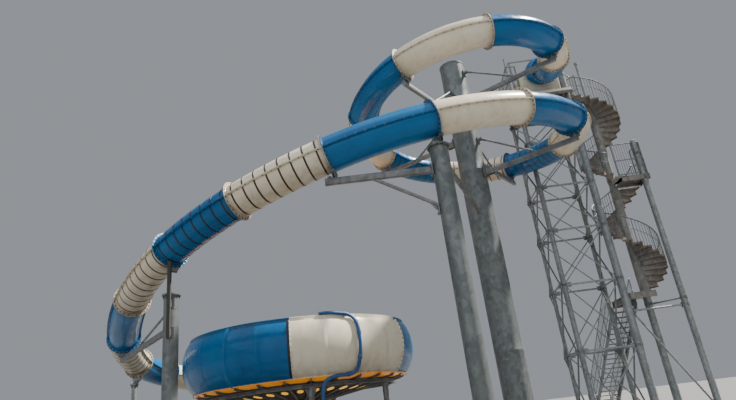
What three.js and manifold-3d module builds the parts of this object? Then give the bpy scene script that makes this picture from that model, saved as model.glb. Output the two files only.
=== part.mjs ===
// Water slide tower: a closed tube slide that starts on a stair tower, makes a full
// turn round a steel column, sweeps down past two more columns and ends in an open bowl.
// Millimetres, +Z up. The origin is the foot of the main column, at ground level.
// The front, where the long sweep passes, faces -Y. The stair tower stands at +X, the bowl at -X.
import * as THREE from 'three';
import { mergeVertices } from 'three/addons/utils/BufferGeometryUtils.js';
import Module from 'manifold-3d';

const wasm = await Module();
wasm.setup();

// Driving dimensions
const GAP = 0.3;
const TUBE_RADIUS = 500;
const TUBE_WALL = 12;
const TUBE_SIDES = 12;
const STEP_DEGREES = 12;
const BELL_RADIUS = 620;
const BELL_LENGTH = 900;
const FLANGE_RADIUS = 570;
const FLANGE_LENGTH = 40;
const HELIX_RADIUS = 3790;
const HELIX_TOP_DEGREES = -14;
const HELIX_TOP_Z = 13338;
const HELIX_SLOPE = 0.13;
const SADDLE_DROP = FLANGE_RADIUS + 130;

const MAIN_RADIUS = 475;
const MAIN_HEIGHT = 14080;
const SECOND = { x: -1920, y: -5320, radius: 250 };
const LEFT = { x: -9890, y: -3200, radius: 210, height: 5430 };
const POST = { radius: 100, offset: -140 };

const BOWL = { x: -7408, y: 4050, radius: 4520, bulge: 820, halfHeight: 1180, midZ: 4006 };
const BOWL_WALL = 20;
const BOWL_LOW_ANGLE = -63;
const BOWL_HIGH_ANGLE = 51;
const BOWL_SEAM_DEGREES = -85.5;
const BOWL_BAYS = 28;
const BOWL_DRAIN_RADIUS = 750;
const BOWL_FLOOR_DROP = 560;
const BOWL_LEGS = 7;

const TOWER = { x: 5447, y: 2890, turn: -1.7, bay: 2170, depth: 1790 };
const DECK = { left: -2520, right: 120, front: -420, back: 1950, top: 14000, depth: 240 };
const DECK_RAIL = 1500;
const TOP_BAR_Z = 15950;
const RAIL_HEIGHT = 1000;
const RAIL_SIZE = 40;
const MAST_TOP_Z = 16050;
const RISER = 191;
const TREAD_DEGREES = 18;
const STAIR_RADIUS = 1080;
const STAIR_CORE = 175;
const STAIR_TOP_DEGREES = 219;
const UPPER_TREADS = 22;
const LOWER_TREADS = 24;
const STRAIGHT_GOING = 260;

const COLOURS = {
  cream: { color: 0xd9cfb2, roughness: 0.35, metalness: 0 },
  blue: { color: 0x0a5e9c, roughness: 0.25, metalness: 0 },
  orange: { color: 0xe8890c, roughness: 0.4, metalness: 0 },
  galvanised: { color: 0x8d9290, roughness: 0.55, metalness: 0.7 },
  darkSteel: { color: 0x34363a, roughness: 0.5, metalness: 0.6 },
  grating: { color: 0x6f6a5c, roughness: 0.7, metalness: 0.5 },
  pipe: { color: 0x1a4f86, roughness: 0.45, metalness: 0 },
};

// The slide's course: plan length, clockwise turn in degrees, slope at start and end.
const HELIX_STEP = HELIX_RADIUS * Math.PI / 4;
const SWEEP_SLOPE = 0.15;
const helixPiece = (colour, slopeOut = HELIX_SLOPE) =>
  ({ length: HELIX_STEP, turn: 45, slopeIn: HELIX_SLOPE, slopeOut, colour });
const BELL_PIECE = { length: 1600, turn: 2, slopeIn: 0.35, slopeOut: 0.72, colour: 'blue' };
const ENTRY_PIECE = { length: 2170, turn: 3, slopeIn: 0.72, slopeOut: HELIX_SLOPE, colour: 'blue' };
const COURSE = [
  { length: HELIX_STEP / 2, turn: 22.5, slopeIn: HELIX_SLOPE, slopeOut: HELIX_SLOPE, colour: 'cream' },
  helixPiece('blue'), helixPiece('cream'), helixPiece('blue'), helixPiece('cream'),
  helixPiece('blue'), helixPiece('cream'), helixPiece('blue'), helixPiece('cream', SWEEP_SLOPE),
  { length: 3030, turn: 22.2, slopeIn: SWEEP_SLOPE, slopeOut: 0.195, colour: 'blue' },
  { length: 2990, turn: 21.7, slopeIn: 0.195, slopeOut: 0.225, colour: 'cream' },
  { length: 2950, turn: 18.4, slopeIn: 0.225, slopeOut: 0.248, colour: 'blue' },
  { length: 2770, turn: 13.4, slopeIn: 0.248, slopeOut: 0.256, colour: 'cream' },
  { length: 2760, turn: 16.2, slopeIn: 0.256, slopeOut: 0.256, colour: 'blue' },
  { length: 3150, turn: 17.1, slopeIn: 0.256, slopeOut: 0.252, colour: 'cream' },
  { length: 2960, turn: 10.7, slopeIn: 0.252, slopeOut: 0.236, colour: 'blue' },
  { length: 2730, turn: 22.2, slopeIn: 0.236, slopeOut: 0.218, colour: 'cream' },
  { length: 2080, turn: 37.1, slopeIn: 0.218, slopeOut: 0.2, colour: 'blue' },
  { length: 2910, turn: 37.4, slopeIn: 0.2, slopeOut: 0.06, colour: 'cream' },
];
const BOWL_ENTRY_PIECE = { length: 4300, turn: 30.5, slopeIn: 0.06, slopeOut: 0.02, colour: 'cream' };

const rad = THREE.MathUtils.degToRad;
const vec = (x, y, z) => new THREE.Vector3(x, y, z);
const group = new THREE.Group();

// Turns a three.js geometry into a solid; faces are turned outwards if they point in.
function solid(geometry) {
  const bare = geometry.clone();
  for (const key of Object.keys(bare.attributes)) if (key !== 'position') bare.deleteAttribute(key);
  const merged = mergeVertices(bare, 1e-3);
  const index = Array.from(merged.index.array);
  const place = merged.attributes.position;
  const corner = (i) => vec().fromBufferAttribute(place, i);
  const faces = [];
  let volume = 0;
  for (let i = 0; i < index.length; i += 3) {
    const [a, b, c] = index.slice(i, i + 3);
    if (a === b || b === c || a === c) continue;
    faces.push(a, b, c);
    volume += corner(a).dot(corner(b).cross(corner(c)));
  }
  if (volume < 0) faces.reverse();
  const mesh = new wasm.Mesh({
    numProp: 3,
    vertProperties: new Float32Array(place.array),
    triVerts: new Uint32Array(faces),
  });
  return new wasm.Manifold(mesh);
}

const join = (pieces) => pieces.reduce((whole, piece) => whole.add(piece));
const cut = (whole, cutters) => cutters.reduce((rest, cutter) => rest.subtract(cutter), whole);

// Adds one named mesh of a solid to the group.
function addNode(name, body, finish) {
  const mesh = body.getMesh();
  const geometry = new THREE.BufferGeometry();
  geometry.setAttribute('position', new THREE.BufferAttribute(new Float32Array(mesh.vertProperties), 3));
  geometry.setIndex(new THREE.BufferAttribute(new Uint32Array(mesh.triVerts), 1));
  geometry.computeVertexNormals();
  const node = new THREE.Mesh(geometry, new THREE.MeshStandardMaterial(COLOURS[finish]));
  node.name = name;
  group.add(node);
}

// Upright round bar between two heights.
function column(x, y, low, high, radius, sides = 16) {
  const geometry = new THREE.CylinderGeometry(radius, radius, high - low, sides);
  geometry.rotateX(Math.PI / 2);
  geometry.translate(x, y, (low + high) / 2);
  return solid(geometry);
}

// Straight round bar from one point to another.
function bar(from, to, radius, sides = 6) {
  const reach = to.clone().sub(from);
  const geometry = new THREE.CylinderGeometry(radius, radius, reach.length(), sides);
  geometry.applyQuaternion(new THREE.Quaternion().setFromUnitVectors(vec(0, 1, 0), reach.normalize()));
  const middle = from.clone().add(to).multiplyScalar(0.5);
  geometry.translate(middle.x, middle.y, middle.z);
  return solid(geometry);
}

// Straight rectangular beam; its width lies level and its height is square to both.
function beam(from, to, width, height) {
  const reach = to.clone().sub(from);
  const forward = reach.clone().normalize();
  const level = vec(0, 0, 1).cross(forward);
  const side = level.length() > 1e-6 ? level.normalize() : vec(1, 0, 0);
  const up = forward.clone().cross(side);
  const geometry = new THREE.BoxGeometry(reach.length(), width, height);
  geometry.applyMatrix4(new THREE.Matrix4().makeBasis(forward, side, up));
  const middle = from.clone().add(to).multiplyScalar(0.5);
  geometry.translate(middle.x, middle.y, middle.z);
  return solid(geometry);
}

// Upright box, turned about Z.
function block(x, y, low, high, sizeX, sizeY, turn = 0) {
  const geometry = new THREE.BoxGeometry(sizeX, sizeY, high - low);
  geometry.rotateZ(turn);
  geometry.translate(x, y, (low + high) / 2);
  return solid(geometry);
}

// Round body about an upright axis from a closed profile of [radius, height] pairs.
function turned(x, y, profile, sides) {
  const points = profile.map(([r, z]) => new THREE.Vector2(r, z));
  points.push(points[0].clone());
  const geometry = new THREE.LatheGeometry(points, sides);
  geometry.rotateX(Math.PI / 2);
  geometry.translate(x, y, 0);
  return solid(geometry);
}

const basePlate = (x, y, radius, turn = 0) => block(x, y, 0, 30, 3 * radius, 3 * radius, turn);

// State at plan distance s along one piece of the course; s below zero runs backwards.
function along(state, piece, s) {
  const bend = -rad(piece.turn) / piece.length;
  const end = state.heading + bend * s;
  const x = state.x + (Math.sin(end) - Math.sin(state.heading)) / bend;
  const y = state.y - (Math.cos(end) - Math.cos(state.heading)) / bend;
  const slope = piece.slopeIn + (piece.slopeOut - piece.slopeIn) * s / piece.length;
  return { x, y, z: state.z - (piece.slopeIn + slope) / 2 * s, heading: end, slope };
}

const helixTop = rad(HELIX_TOP_DEGREES);
const helixStart = {
  x: HELIX_RADIUS * Math.cos(helixTop), y: HELIX_RADIUS * Math.sin(helixTop), z: HELIX_TOP_Z,
  heading: helixTop - Math.PI / 2,
};
// Start state of a piece whose end state is known.
function before(end, piece) {
  const meanSlope = (piece.slopeIn + piece.slopeOut) / 2;
  return { ...along(end, piece, -piece.length), z: end.z + meanSlope * piece.length };
}

// Every piece with its start state, from the start housing to the bowl.
const sections = [];
let state = before(before(helixStart, ENTRY_PIECE), BELL_PIECE);
for (const piece of [BELL_PIECE, ENTRY_PIECE, ...COURSE, BOWL_ENTRY_PIECE]) {
  sections.push({ piece, start: state });
  state = along(state, piece, piece.length);
}
const bowlEntry = sections.at(-1);
const tubeSections = sections.slice(0, -1);
// Joint number 0 is where the first full eighth of the helix starts.
const FIRST_JOINT = 3;
const joint = (k) => sections[k + FIRST_JOINT].start;
const stepsOf = (piece) => Math.max(3, Math.round(piece.turn / STEP_DEGREES));

// Bends an upright-axis lathe along the course: its height becomes the plan distance.
function bent(section, profile, shift = 0) {
  const points = profile.map(([r, s]) => new THREE.Vector2(r, s));
  points.push(points[0].clone());
  const geometry = new THREE.LatheGeometry(points, TUBE_SIDES, Math.PI / TUBE_SIDES);
  const place = geometry.attributes.position;
  for (let i = 0; i < place.count; i += 1) {
    const offsetSide = place.getX(i);
    const offsetUp = place.getZ(i);
    const at = along(section.start, section.piece, place.getY(i) + shift);
    const forward = vec(Math.cos(at.heading), Math.sin(at.heading), -at.slope).normalize();
    const side = vec(Math.sin(at.heading), -Math.cos(at.heading), 0);
    const up = side.clone().cross(forward);
    const point = vec(at.x, at.y, at.z).addScaledVector(side, offsetSide).addScaledVector(up, offsetUp);
    place.setXYZ(i, point.x, point.y, point.z);
  }
  return solid(geometry);
}

const disc = (radius, from, to) => [[0, from], [radius, from], [radius, to], [0, to]];

// Closed shell profile of a tube section with a bolting flange at each end.
function shellProfile(length, steps) {
  const inner = TUBE_RADIUS - TUBE_WALL;
  const low = GAP / 2;
  const high = length - GAP / 2;
  const stations = Array.from({ length: steps - 1 }, (_, i) => length * (i + 1) / steps);
  return [
    [inner, low], [FLANGE_RADIUS, low], [FLANGE_RADIUS, low + FLANGE_LENGTH],
    [TUBE_RADIUS, low + FLANGE_LENGTH],
    ...stations.map((s) => [TUBE_RADIUS, s]),
    [TUBE_RADIUS, high - FLANGE_LENGTH], [FLANGE_RADIUS, high - FLANGE_LENGTH],
    [FLANGE_RADIUS, high], [inner, high],
    ...stations.toReversed().map((s) => [inner, s]),
  ];
}

// Filled tube round one joint, a gap wider than the tube, used to shape its saddle.
function jointCutter(k) {
  const upper = sections[k + FIRST_JOINT - 1];
  const lower = sections[k + FIRST_JOINT];
  const radius = TUBE_RADIUS + GAP;
  const flange = FLANGE_RADIUS + GAP;
  const edge = FLANGE_LENGTH + GAP / 2;
  const upperEnd = upper.piece.length;
  const upperStep = upperEnd / stepsOf(upper.piece);
  const lowerStep = lower.piece.length / stepsOf(lower.piece);
  const ends = [
    bent(upper, disc(radius, upperEnd - upperStep, upperEnd - edge)),
    bent(upper, disc(flange, upperEnd - edge - GAP, upperEnd + 1)),
    bent(lower, disc(flange, -1, edge + GAP)),
    bent(lower, disc(radius, edge, lowerStep)),
  ];
  return join(ends);
}

// Slide tube. The first piece flares to a bell that stands in the start housing's front.
const bellProfile = (extra) => {
  const { length } = BELL_PIECE;
  return [[BELL_RADIUS + extra, 0], [BELL_RADIUS + extra, 420], [TUBE_RADIUS + extra, BELL_LENGTH],
    [TUBE_RADIUS + extra, length - FLANGE_LENGTH]];
};
const bellOuter = [...bellProfile(0), [FLANGE_RADIUS, BELL_PIECE.length - FLANGE_LENGTH],
  [FLANGE_RADIUS, BELL_PIECE.length - GAP / 2]];
const bellInner = bellProfile(-TUBE_WALL).toReversed().slice(1);
const bellMouth = [TUBE_RADIUS - TUBE_WALL, BELL_PIECE.length - GAP / 2];
addNode('entry_bell', bent(sections[0], [...bellOuter, bellMouth, ...bellInner]), 'blue');
tubeSections.slice(1).forEach(({ piece, start }, i) => {
  const name = i === 0 ? 'entry_tube' : `tube_section_${String(i).padStart(2, '0')}`;
  addNode(name, bent({ piece, start }, shellProfile(piece.length, stepsOf(piece))), piece.colour);
});

// Bowl wall: a ring whose section bulges outwards, in four coloured stretches.
const bowlMidRadius = BOWL.radius - BOWL.bulge;
const bowlPoint = (angle, inset) => [
  bowlMidRadius + (BOWL.bulge - inset) * Math.cos(rad(angle)),
  BOWL.midZ + (BOWL.halfHeight - inset) * Math.sin(rad(angle)),
];
const PROFILE_STEPS = 6;
const bowlAngles = Array.from({ length: PROFILE_STEPS + 1 }, (_, i) =>
  BOWL_LOW_ANGLE + (BOWL_HIGH_ANGLE - BOWL_LOW_ANGLE) * i / PROFILE_STEPS);
const outerCurve = bowlAngles.map((angle) => bowlPoint(angle, 0));
const innerCurve = bowlAngles.toReversed().map((angle) => bowlPoint(angle, BOWL_WALL));
const rimRadius = outerCurve[0][0];
const rimZ = outerCurve[0][1];
const LIP_WIDTH = 90;
const BOWL_SIDES = 36;
const wallProfile = [...outerCurve, ...innerCurve.slice(0, -1), [rimRadius - BOWL_WALL, rimZ + 30],
  [rimRadius - LIP_WIDTH, rimZ + 30], [rimRadius - LIP_WIDTH, rimZ]];
const bowlRing = turned(BOWL.x, BOWL.y, wallProfile, BOWL_SIDES);
const bowlInside = turned(BOWL.x, BOWL.y, [[0, rimZ - 400], ...innerCurve.toReversed().map(([r, z]) =>
  [r, z]), [0, outerCurve.at(-1)[1] + 10]], BOWL_SIDES);

// A stretch of the plan round the bowl's axis, a gap short on both sides.
function stretch(fromDegrees, span) {
  const reach = 1.6 * BOWL.radius;
  const shape = new THREE.Shape();
  const middle = rad(fromDegrees + span / 2);
  shape.moveTo(Math.cos(middle) * GAP, Math.sin(middle) * GAP);
  const steps = Math.ceil(span / 45);
  for (let i = 0; i <= steps; i += 1) {
    const angle = rad(fromDegrees + span * i / steps);
    shape.lineTo(Math.cos(middle) * GAP + reach * Math.cos(angle),
      Math.sin(middle) * GAP + reach * Math.sin(angle));
  }
  const geometry = new THREE.ExtrudeGeometry(shape, { depth: 3 * BOWL.halfHeight, bevelEnabled: false });
  geometry.translate(BOWL.x, BOWL.y, BOWL.midZ - 1.5 * BOWL.halfHeight);
  return solid(geometry);
}

// Last tube piece: it runs tangentially through the bowl's wall and closes to a nose.
const NOSE = 700;
function entryProfile(radius, low, high) {
  const stations = [0.15, 0.3, 0.45, 0.6, 0.72].map((part) => part * BOWL_ENTRY_PIECE.length);
  const tip = high - NOSE;
  return [[0, low], [radius, low], ...stations.map((s) => [radius, s]), [radius, tip],
    [0.86 * radius, tip + 0.55 * NOSE], [0.5 * radius, high - 60], [0, high]];
}
const entryEnd = BOWL_ENTRY_PIECE.length;
const entryFill = bent(bowlEntry, entryProfile(TUBE_RADIUS, GAP / 2, entryEnd));
const entryClear = bent(bowlEntry, entryProfile(TUBE_RADIUS + GAP, GAP / 2, entryEnd + GAP));
const entryBore = bent(bowlEntry, entryProfile(TUBE_RADIUS - TUBE_WALL, -50, entryEnd - TUBE_WALL));
const entryFlange = bent(bowlEntry, [[TUBE_RADIUS - TUBE_WALL / 2, GAP / 2], [FLANGE_RADIUS, GAP / 2],
  [FLANGE_RADIUS, GAP / 2 + FLANGE_LENGTH], [TUBE_RADIUS - TUBE_WALL / 2, GAP / 2 + FLANGE_LENGTH]]);
const entryShell = cut(entryFill.subtract(entryBore).add(entryFlange), [bowlInside]);
const largest = (body) => body.decompose().sort((a, b) => b.volume() - a.volume())[0];
addNode('bowl_entry_tube', largest(entryShell), 'cream');

const STRETCHES = [['bowl_wall_front_left', -90, 90, 'blue'], ['bowl_wall_front_right', 0, 60, 'cream'],
  ['bowl_wall_back_right', 60, 90, 'blue'], ['bowl_wall_back_left', 150, 120, 'cream']];
STRETCHES.forEach(([name, fromSeam, span, colour]) => {
  const piece = bowlRing.intersect(stretch(BOWL_SEAM_DEGREES + fromSeam, span));
  addNode(name, largest(piece.subtract(entryClear)), colour);
});

// Bowl floor: a shallow dish that falls to the drain opening.
const FLOOR_THICKNESS = 20;
const floorTop = rimZ - GAP;
const drainTop = floorTop - BOWL_FLOOR_DROP;
const floorProfile = [[rimRadius, floorTop], [rimRadius - LIP_WIDTH, floorTop],
  [BOWL_DRAIN_RADIUS, drainTop], [BOWL_DRAIN_RADIUS, drainTop - FLOOR_THICKNESS],
  [rimRadius - LIP_WIDTH, floorTop - FLOOR_THICKNESS], [rimRadius, floorTop - FLOOR_THICKNESS]];
addNode('bowl_floor', turned(BOWL.x, BOWL.y, floorProfile, BOWL_BAYS), 'orange');

// Steel frame under the bowl: radial ribs, a ring beam and its legs.
const RING_RADIUS = 3600;
const floorSlope = BOWL_FLOOR_DROP / (rimRadius - LIP_WIDTH - BOWL_DRAIN_RADIUS);
const underside = (r) => floorTop - FLOOR_THICKNESS - floorSlope * Math.max(0, rimRadius - LIP_WIDTH - r);
const RIB_HEIGHT = 110;
const RING_HEIGHT = 200;
const ringZ = underside(RING_RADIUS) - RIB_HEIGHT;
const bowlAt = (r, angle, z) => vec(BOWL.x + r * Math.cos(angle), BOWL.y + r * Math.sin(angle), z);
const ribs = [];
const ribDrop = (RIB_HEIGHT / 2 + GAP) * Math.hypot(1, floorSlope);
for (let i = 0; i < BOWL_BAYS; i += 2) {
  const angle = 2 * Math.PI * i / BOWL_BAYS;
  const inner = BOWL_DRAIN_RADIUS + 60;
  const outer = rimRadius - LIP_WIDTH;
  ribs.push(beam(bowlAt(inner, angle, underside(inner) - ribDrop),
    bowlAt(outer, angle, underside(outer) - ribDrop), 60, RIB_HEIGHT));
}
const ringBeam = turned(BOWL.x, BOWL.y, [[RING_RADIUS - 60, ringZ - RING_HEIGHT], [RING_RADIUS + 60,
  ringZ - RING_HEIGHT], [RING_RADIUS + 60, ringZ + 60], [RING_RADIUS - 60, ringZ + 60]], BOWL_BAYS);
const hubZ = underside(BOWL_DRAIN_RADIUS + 100) - 60;
const hubRing = turned(BOWL.x, BOWL.y, [[BOWL_DRAIN_RADIUS + 50, hubZ - 120], [BOWL_DRAIN_RADIUS + 110,
  hubZ - 120], [BOWL_DRAIN_RADIUS + 110, hubZ + 20], [BOWL_DRAIN_RADIUS + 50, hubZ + 20]], BOWL_BAYS);
const bowlLegs = [];
for (let i = 0; i < BOWL_LEGS; i += 1) {
  const angle = 2 * Math.PI * (i + 0.5) / BOWL_LEGS;
  const foot = bowlAt(RING_RADIUS, angle, 0);
  bowlLegs.push(column(foot.x, foot.y, 0, ringZ - RING_HEIGHT + 20, 100, 8),
    basePlate(foot.x, foot.y, 100, angle));
}
addNode('bowl_frame', join([...ribs, ringBeam, hubRing, ...bowlLegs]), 'darkSteel');

// Feed pipe that comes over the bowl's rim, down its wall, along the rim and to the ground.
const PIPE_RADIUS = 60;
const pipeAt = (degrees, angle, off) => {
  const [r, z] = bowlPoint(angle, -off);
  return bowlAt(r, rad(degrees), z);
};
const pipeOff = PIPE_RADIUS + 25;
const pipeRoute = new THREE.CatmullRomCurve3([
  pipeAt(-72, 56, pipeOff), pipeAt(-65, 52, pipeOff), pipeAt(-58, 44, pipeOff),
  pipeAt(-55.5, 25, pipeOff), pipeAt(-55.5, 0, pipeOff), pipeAt(-55.5, -25, pipeOff),
  pipeAt(-56, -48, pipeOff), pipeAt(-59, -58, pipeOff), pipeAt(-66, -60, pipeOff),
  bowlAt(4150, rad(-71), 2750), bowlAt(4120, rad(-72.5), 2300),
  bowlAt(4120, rad(-72.5), 1200), bowlAt(4120, rad(-72.5), 0),
]);
const ring = new THREE.Shape();
ring.absarc(0, 0, PIPE_RADIUS, 0, 2 * Math.PI);
const feedPipe = solid(new THREE.ExtrudeGeometry(ring,
  { steps: 22, curveSegments: 3, bevelEnabled: false, extrudePath: pipeRoute }));
const bowlFill = turned(BOWL.x, BOWL.y, [[0, rimZ], ...bowlAngles.map((angle) => bowlPoint(angle, -GAP)),
  [0, outerCurve.at(-1)[1]]], BOWL_SIDES);
const clips = [30, -25].map((angle) =>
  beam(pipeAt(-55.5, angle, -60), pipeAt(-55.5, angle, pipeOff), 90, 50));
addNode('bowl_feed_pipe', largest(join([feedPipe, ...clips]).subtract(bowlFill)), 'pipe');

// Main column, with the clearance that its arms are cut back to.
const mainClear = column(0, 0, -10, MAIN_HEIGHT + 500, MAIN_RADIUS + GAP);
const mainColumn = join([column(0, 0, 0, MAIN_HEIGHT, MAIN_RADIUS), basePlate(0, 0, 500),
  column(0, 0, MAIN_HEIGHT - 30, MAIN_HEIGHT, MAIN_RADIUS + 35)]);
addNode('main_column', mainColumn, 'galvanised');

// Cantilever arm from a column to a tube joint: a level beam, a tie above it and a saddle.
function arm({ root, clear, k, tieRise, tieReach, reachOver = 120 }) {
  const end = joint(k);
  const level = end.z - SADDLE_DROP - 80;
  const start = vec(root.x, root.y, level);
  const tip = vec(end.x, end.y, level);
  const forward = tip.clone().sub(start).normalize();
  const far = tip.clone().addScaledVector(forward, reachOver);
  const turn = Math.atan2(forward.y, forward.x);
  const pad = start.clone().addScaledVector(forward, root.radius);
  const tieFoot = start.clone().lerp(tip, tieReach);
  const tieTop = start.clone().setZ(level + tieRise);
  const tiePad = tieTop.clone().addScaledVector(forward, root.radius);
  const tie = bar(tieTop, tieFoot, 38);
  const pieces = [
    beam(start, far, 120, 160),
    block(pad.x, pad.y, level - 170, level + 170, 90, 300, turn),
    block(tiePad.x, tiePad.y, tiePad.z - 150, tiePad.z + 60, 90, 200, turn),
    block(tieFoot.x, tieFoot.y, level, level + 130, 160, 60, turn),
    tie,
    block(end.x, end.y, level, end.z - 300, 110, 160, end.heading),
    block(end.x, end.y, end.z - 560, end.z - 330, 130, 560, end.heading),
  ];
  return cut(join(pieces), [clear, jointCutter(k)]);
}
const MAIN_ROOT = { x: 0, y: 0, radius: MAIN_RADIUS };
const MAIN_ARMS = [['helix_arm_top_right', 0, 1230, 0.6], ['helix_arm_top_left', 2, 1100, 0.5],
  ['helix_arm_back_left', 4, 1100, 0.55], ['helix_arm_back_right', 6, 1100, 0.5],
  ['helix_arm_low_right', 8, 1380, 0.62]];
for (const [name, k, tieRise, tieReach] of MAIN_ARMS) {
  addNode(name, largest(arm({ root: MAIN_ROOT, clear: mainClear, k, tieRise, tieReach })), 'darkSteel');
}

// Column with a flanged top, a short post and a saddle right under a tube joint.
function saddleColumn(place, k, height) {
  const end = joint(k);
  const body = [column(place.x, place.y, 0, height, place.radius), basePlate(place.x, place.y, place.radius),
    column(place.x, place.y, height - 40, height, place.radius + 60),
    block(end.x, end.y, end.z - 560, end.z - 330, 130, 560, end.heading)];
  const post = vec(place.x, place.y, height - 40);
  body.push(beam(post, vec(end.x, end.y, end.z - 400), 140, 140));
  return largest(cut(join(body), [jointCutter(k)]));
}
const secondHeight = joint(10).z - SADDLE_DROP - 120;
addNode('second_column', saddleColumn(SECOND, 10, secondHeight), 'galvanised');
const secondClear = column(SECOND.x, SECOND.y, -10, secondHeight + GAP, SECOND.radius + GAP)
  .add(column(SECOND.x, SECOND.y, secondHeight - 40 - GAP, secondHeight + GAP, SECOND.radius + 60 + GAP));

// Long arm from the second column to the next joint, propped from below.
function proppedArm() {
  const end = joint(11);
  const level = end.z - SADDLE_DROP - 80;
  const start = vec(SECOND.x, SECOND.y, level);
  const tip = vec(end.x, end.y, level);
  const forward = tip.clone().sub(start).normalize();
  const turn = Math.atan2(forward.y, forward.x);
  const propFoot = start.clone().setZ(level - 1150);
  const propTop = start.clone().lerp(tip, 0.64);
  const pad = start.clone().addScaledVector(forward, SECOND.radius);
  return largest(cut(join([
    beam(start, tip.clone().addScaledVector(forward, 120), 130, 180),
    beam(propFoot, propTop, 80, 80),
    block(pad.x, pad.y, level - 160, level + 160, 70, 260, turn),
    block(pad.x, pad.y, level - 1250, level - 980, 70, 200, turn),
    block(end.x, end.y, level, end.z - 300, 110, 160, end.heading),
    block(end.x, end.y, end.z - 560, end.z - 330, 130, 560, end.heading),
  ]), [secondClear, jointCutter(11)]));
}
addNode('sweep_arm', proppedArm(), 'darkSteel');
const tieZ = secondHeight - 260;
addNode('column_tie', cut(beam(vec(SECOND.x, SECOND.y, tieZ), vec(0, 0, tieZ), 110, 150),
  [secondClear, mainClear]), 'darkSteel');

// Left column with the square post on its face that carries the tube, and its long arm.
const leftClear = column(LEFT.x, LEFT.y, -10, LEFT.height + GAP, LEFT.radius + GAP)
  .add(column(LEFT.x, LEFT.y, LEFT.height - 40 - GAP, LEFT.height + GAP, LEFT.radius + 50 + GAP));
addNode('left_column', join([column(LEFT.x, LEFT.y, 0, LEFT.height, LEFT.radius),
  basePlate(LEFT.x, LEFT.y, LEFT.radius),
  column(LEFT.x, LEFT.y, LEFT.height - 40, LEFT.height, LEFT.radius + 50)]), 'galvanised');
const faceY = LEFT.y - LEFT.radius - 50 - 75 - 10;
const j13 = joint(13);
addNode('left_bracket', largest(cut(join([
  block(LEFT.x + 60, faceY, 4150, j13.z - 450, 130, 130),
  block(LEFT.x + 60, faceY + 90, 4200, 4420, 90, 160),
  block(LEFT.x + 60, faceY + 90, 5000, 5220, 90, 160),
  beam(vec(LEFT.x + 60, faceY, j13.z - 480), vec(j13.x, j13.y, j13.z - 480), 120, 120),
  block(j13.x, j13.y, j13.z - 600, j13.z - 330, 130, 560, j13.heading),
]), [leftClear, jointCutter(13)])), 'darkSteel');
const LEFT_ROOT = { x: LEFT.x, y: LEFT.y, radius: LEFT.radius };
addNode('left_arm', largest(arm({ root: LEFT_ROOT, clear: leftClear, k: 15, tieRise: 560, tieReach: 0.55 })),
  'darkSteel');

const j16 = joint(16);
addNode('bend_post', saddleColumn({ x: j16.x + POST.offset, y: j16.y, radius: POST.radius }, 16,
  j16.z - SADDLE_DROP - 100), 'galvanised');

// Stair tower, in its own plan axes: u to the right, v to the back, from the front middle leg.
const towerTurn = rad(TOWER.turn);
const towerAt = (u, v, z) => vec(TOWER.x + u * Math.cos(towerTurn) - v * Math.sin(towerTurn),
  TOWER.y + u * Math.sin(towerTurn) + v * Math.cos(towerTurn), z);
const towerBlock = (u0, u1, v0, v1, low, high) => {
  const middle = towerAt((u0 + u1) / 2, (v0 + v1) / 2, 0);
  return block(middle.x, middle.y, low, high, u1 - u0, v1 - v0, towerTurn);
};
const LEG_SIDES = 8;
const towerColumn = (u, v, low, high, radius, sides = LEG_SIDES) => {
  const foot = towerAt(u, v, 0);
  return column(foot.x, foot.y, low, high, radius, sides);
};
const LEGS = {
  frontLeft: { u: -TOWER.bay, v: 0, radius: 100 },
  frontMiddle: { u: 0, v: 0, radius: 150 },
  backLeft: { u: -TOWER.bay, v: TOWER.depth, radius: 85 },
  backMiddle: { u: 0, v: TOWER.depth, radius: 100 },
  stairLeg: { u: TOWER.bay, v: 0, radius: 125 },
};
const MAST = { u: 1200, v: TOWER.depth / 2, radius: 150 };
const deckUnder = DECK.top - DECK.depth - GAP;
const legSolid = ({ u, v, radius }, top) => {
  const foot = towerAt(u, v, 0);
  return join([towerColumn(u, v, 0, top, radius),
    block(foot.x, foot.y, 0, 25, 3.2 * radius, 3.2 * radius, towerTurn)]);
};

// Lattice side between two legs: level bars at the given heights and crossed bars between them.
function lattice(a, b, levels, offset, overhang = 0) {
  const at = (leg, z) => towerAt(leg.u + offset, leg.v + (leg === a ? -overhang : overhang), z);
  const pieces = [];
  levels.forEach((z, i) => {
    pieces.push(beam(at(a, z), at(b, z), 70, 70));
    if (i === levels.length - 1) return;
    const next = levels[i + 1];
    pieces.push(beam(at(a, z), at(b, next), 50, 50), beam(at(b, z), at(a, next), 50, 50));
  });
  return join(pieces);
}
const LEVELS = [400, 2900, 5450, 7700, 9630, 11700, 13500];
const frontLeft = LEGS.frontLeft;
const frontMiddle = LEGS.frontMiddle;
const frontBars = lattice(frontLeft, frontMiddle, LEVELS, 0);
const topBar = [beam(towerAt(frontLeft.u - 30, 0, TOP_BAR_Z), towerAt(0, 0, TOP_BAR_Z), 60, 60),
  towerBlock(frontLeft.u - 30, frontLeft.u + 30, -30, 30, deckUnder - 50, TOP_BAR_Z + 20)];
addNode('tower_front_frame', join([legSolid(frontLeft, deckUnder), legSolid(frontMiddle, TOP_BAR_Z + 60),
  frontBars, ...topBar]), 'galvanised');
addNode('tower_back_frame', join([legSolid(LEGS.backLeft, deckUnder), legSolid(LEGS.backMiddle, deckUnder),
  lattice(LEGS.backLeft, LEGS.backMiddle, LEVELS, 0)]), 'galvanised');
const sideOffset = 35 + GAP;
addNode('tower_left_lattice', lattice(LEGS.frontLeft, LEGS.backLeft, LEVELS,
  -LEGS.frontLeft.radius - sideOffset, 60), 'galvanised');
const betweenFrames = towerBlock(-400, 0, sideOffset, TOWER.depth - sideOffset, 0, deckUnder);
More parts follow.
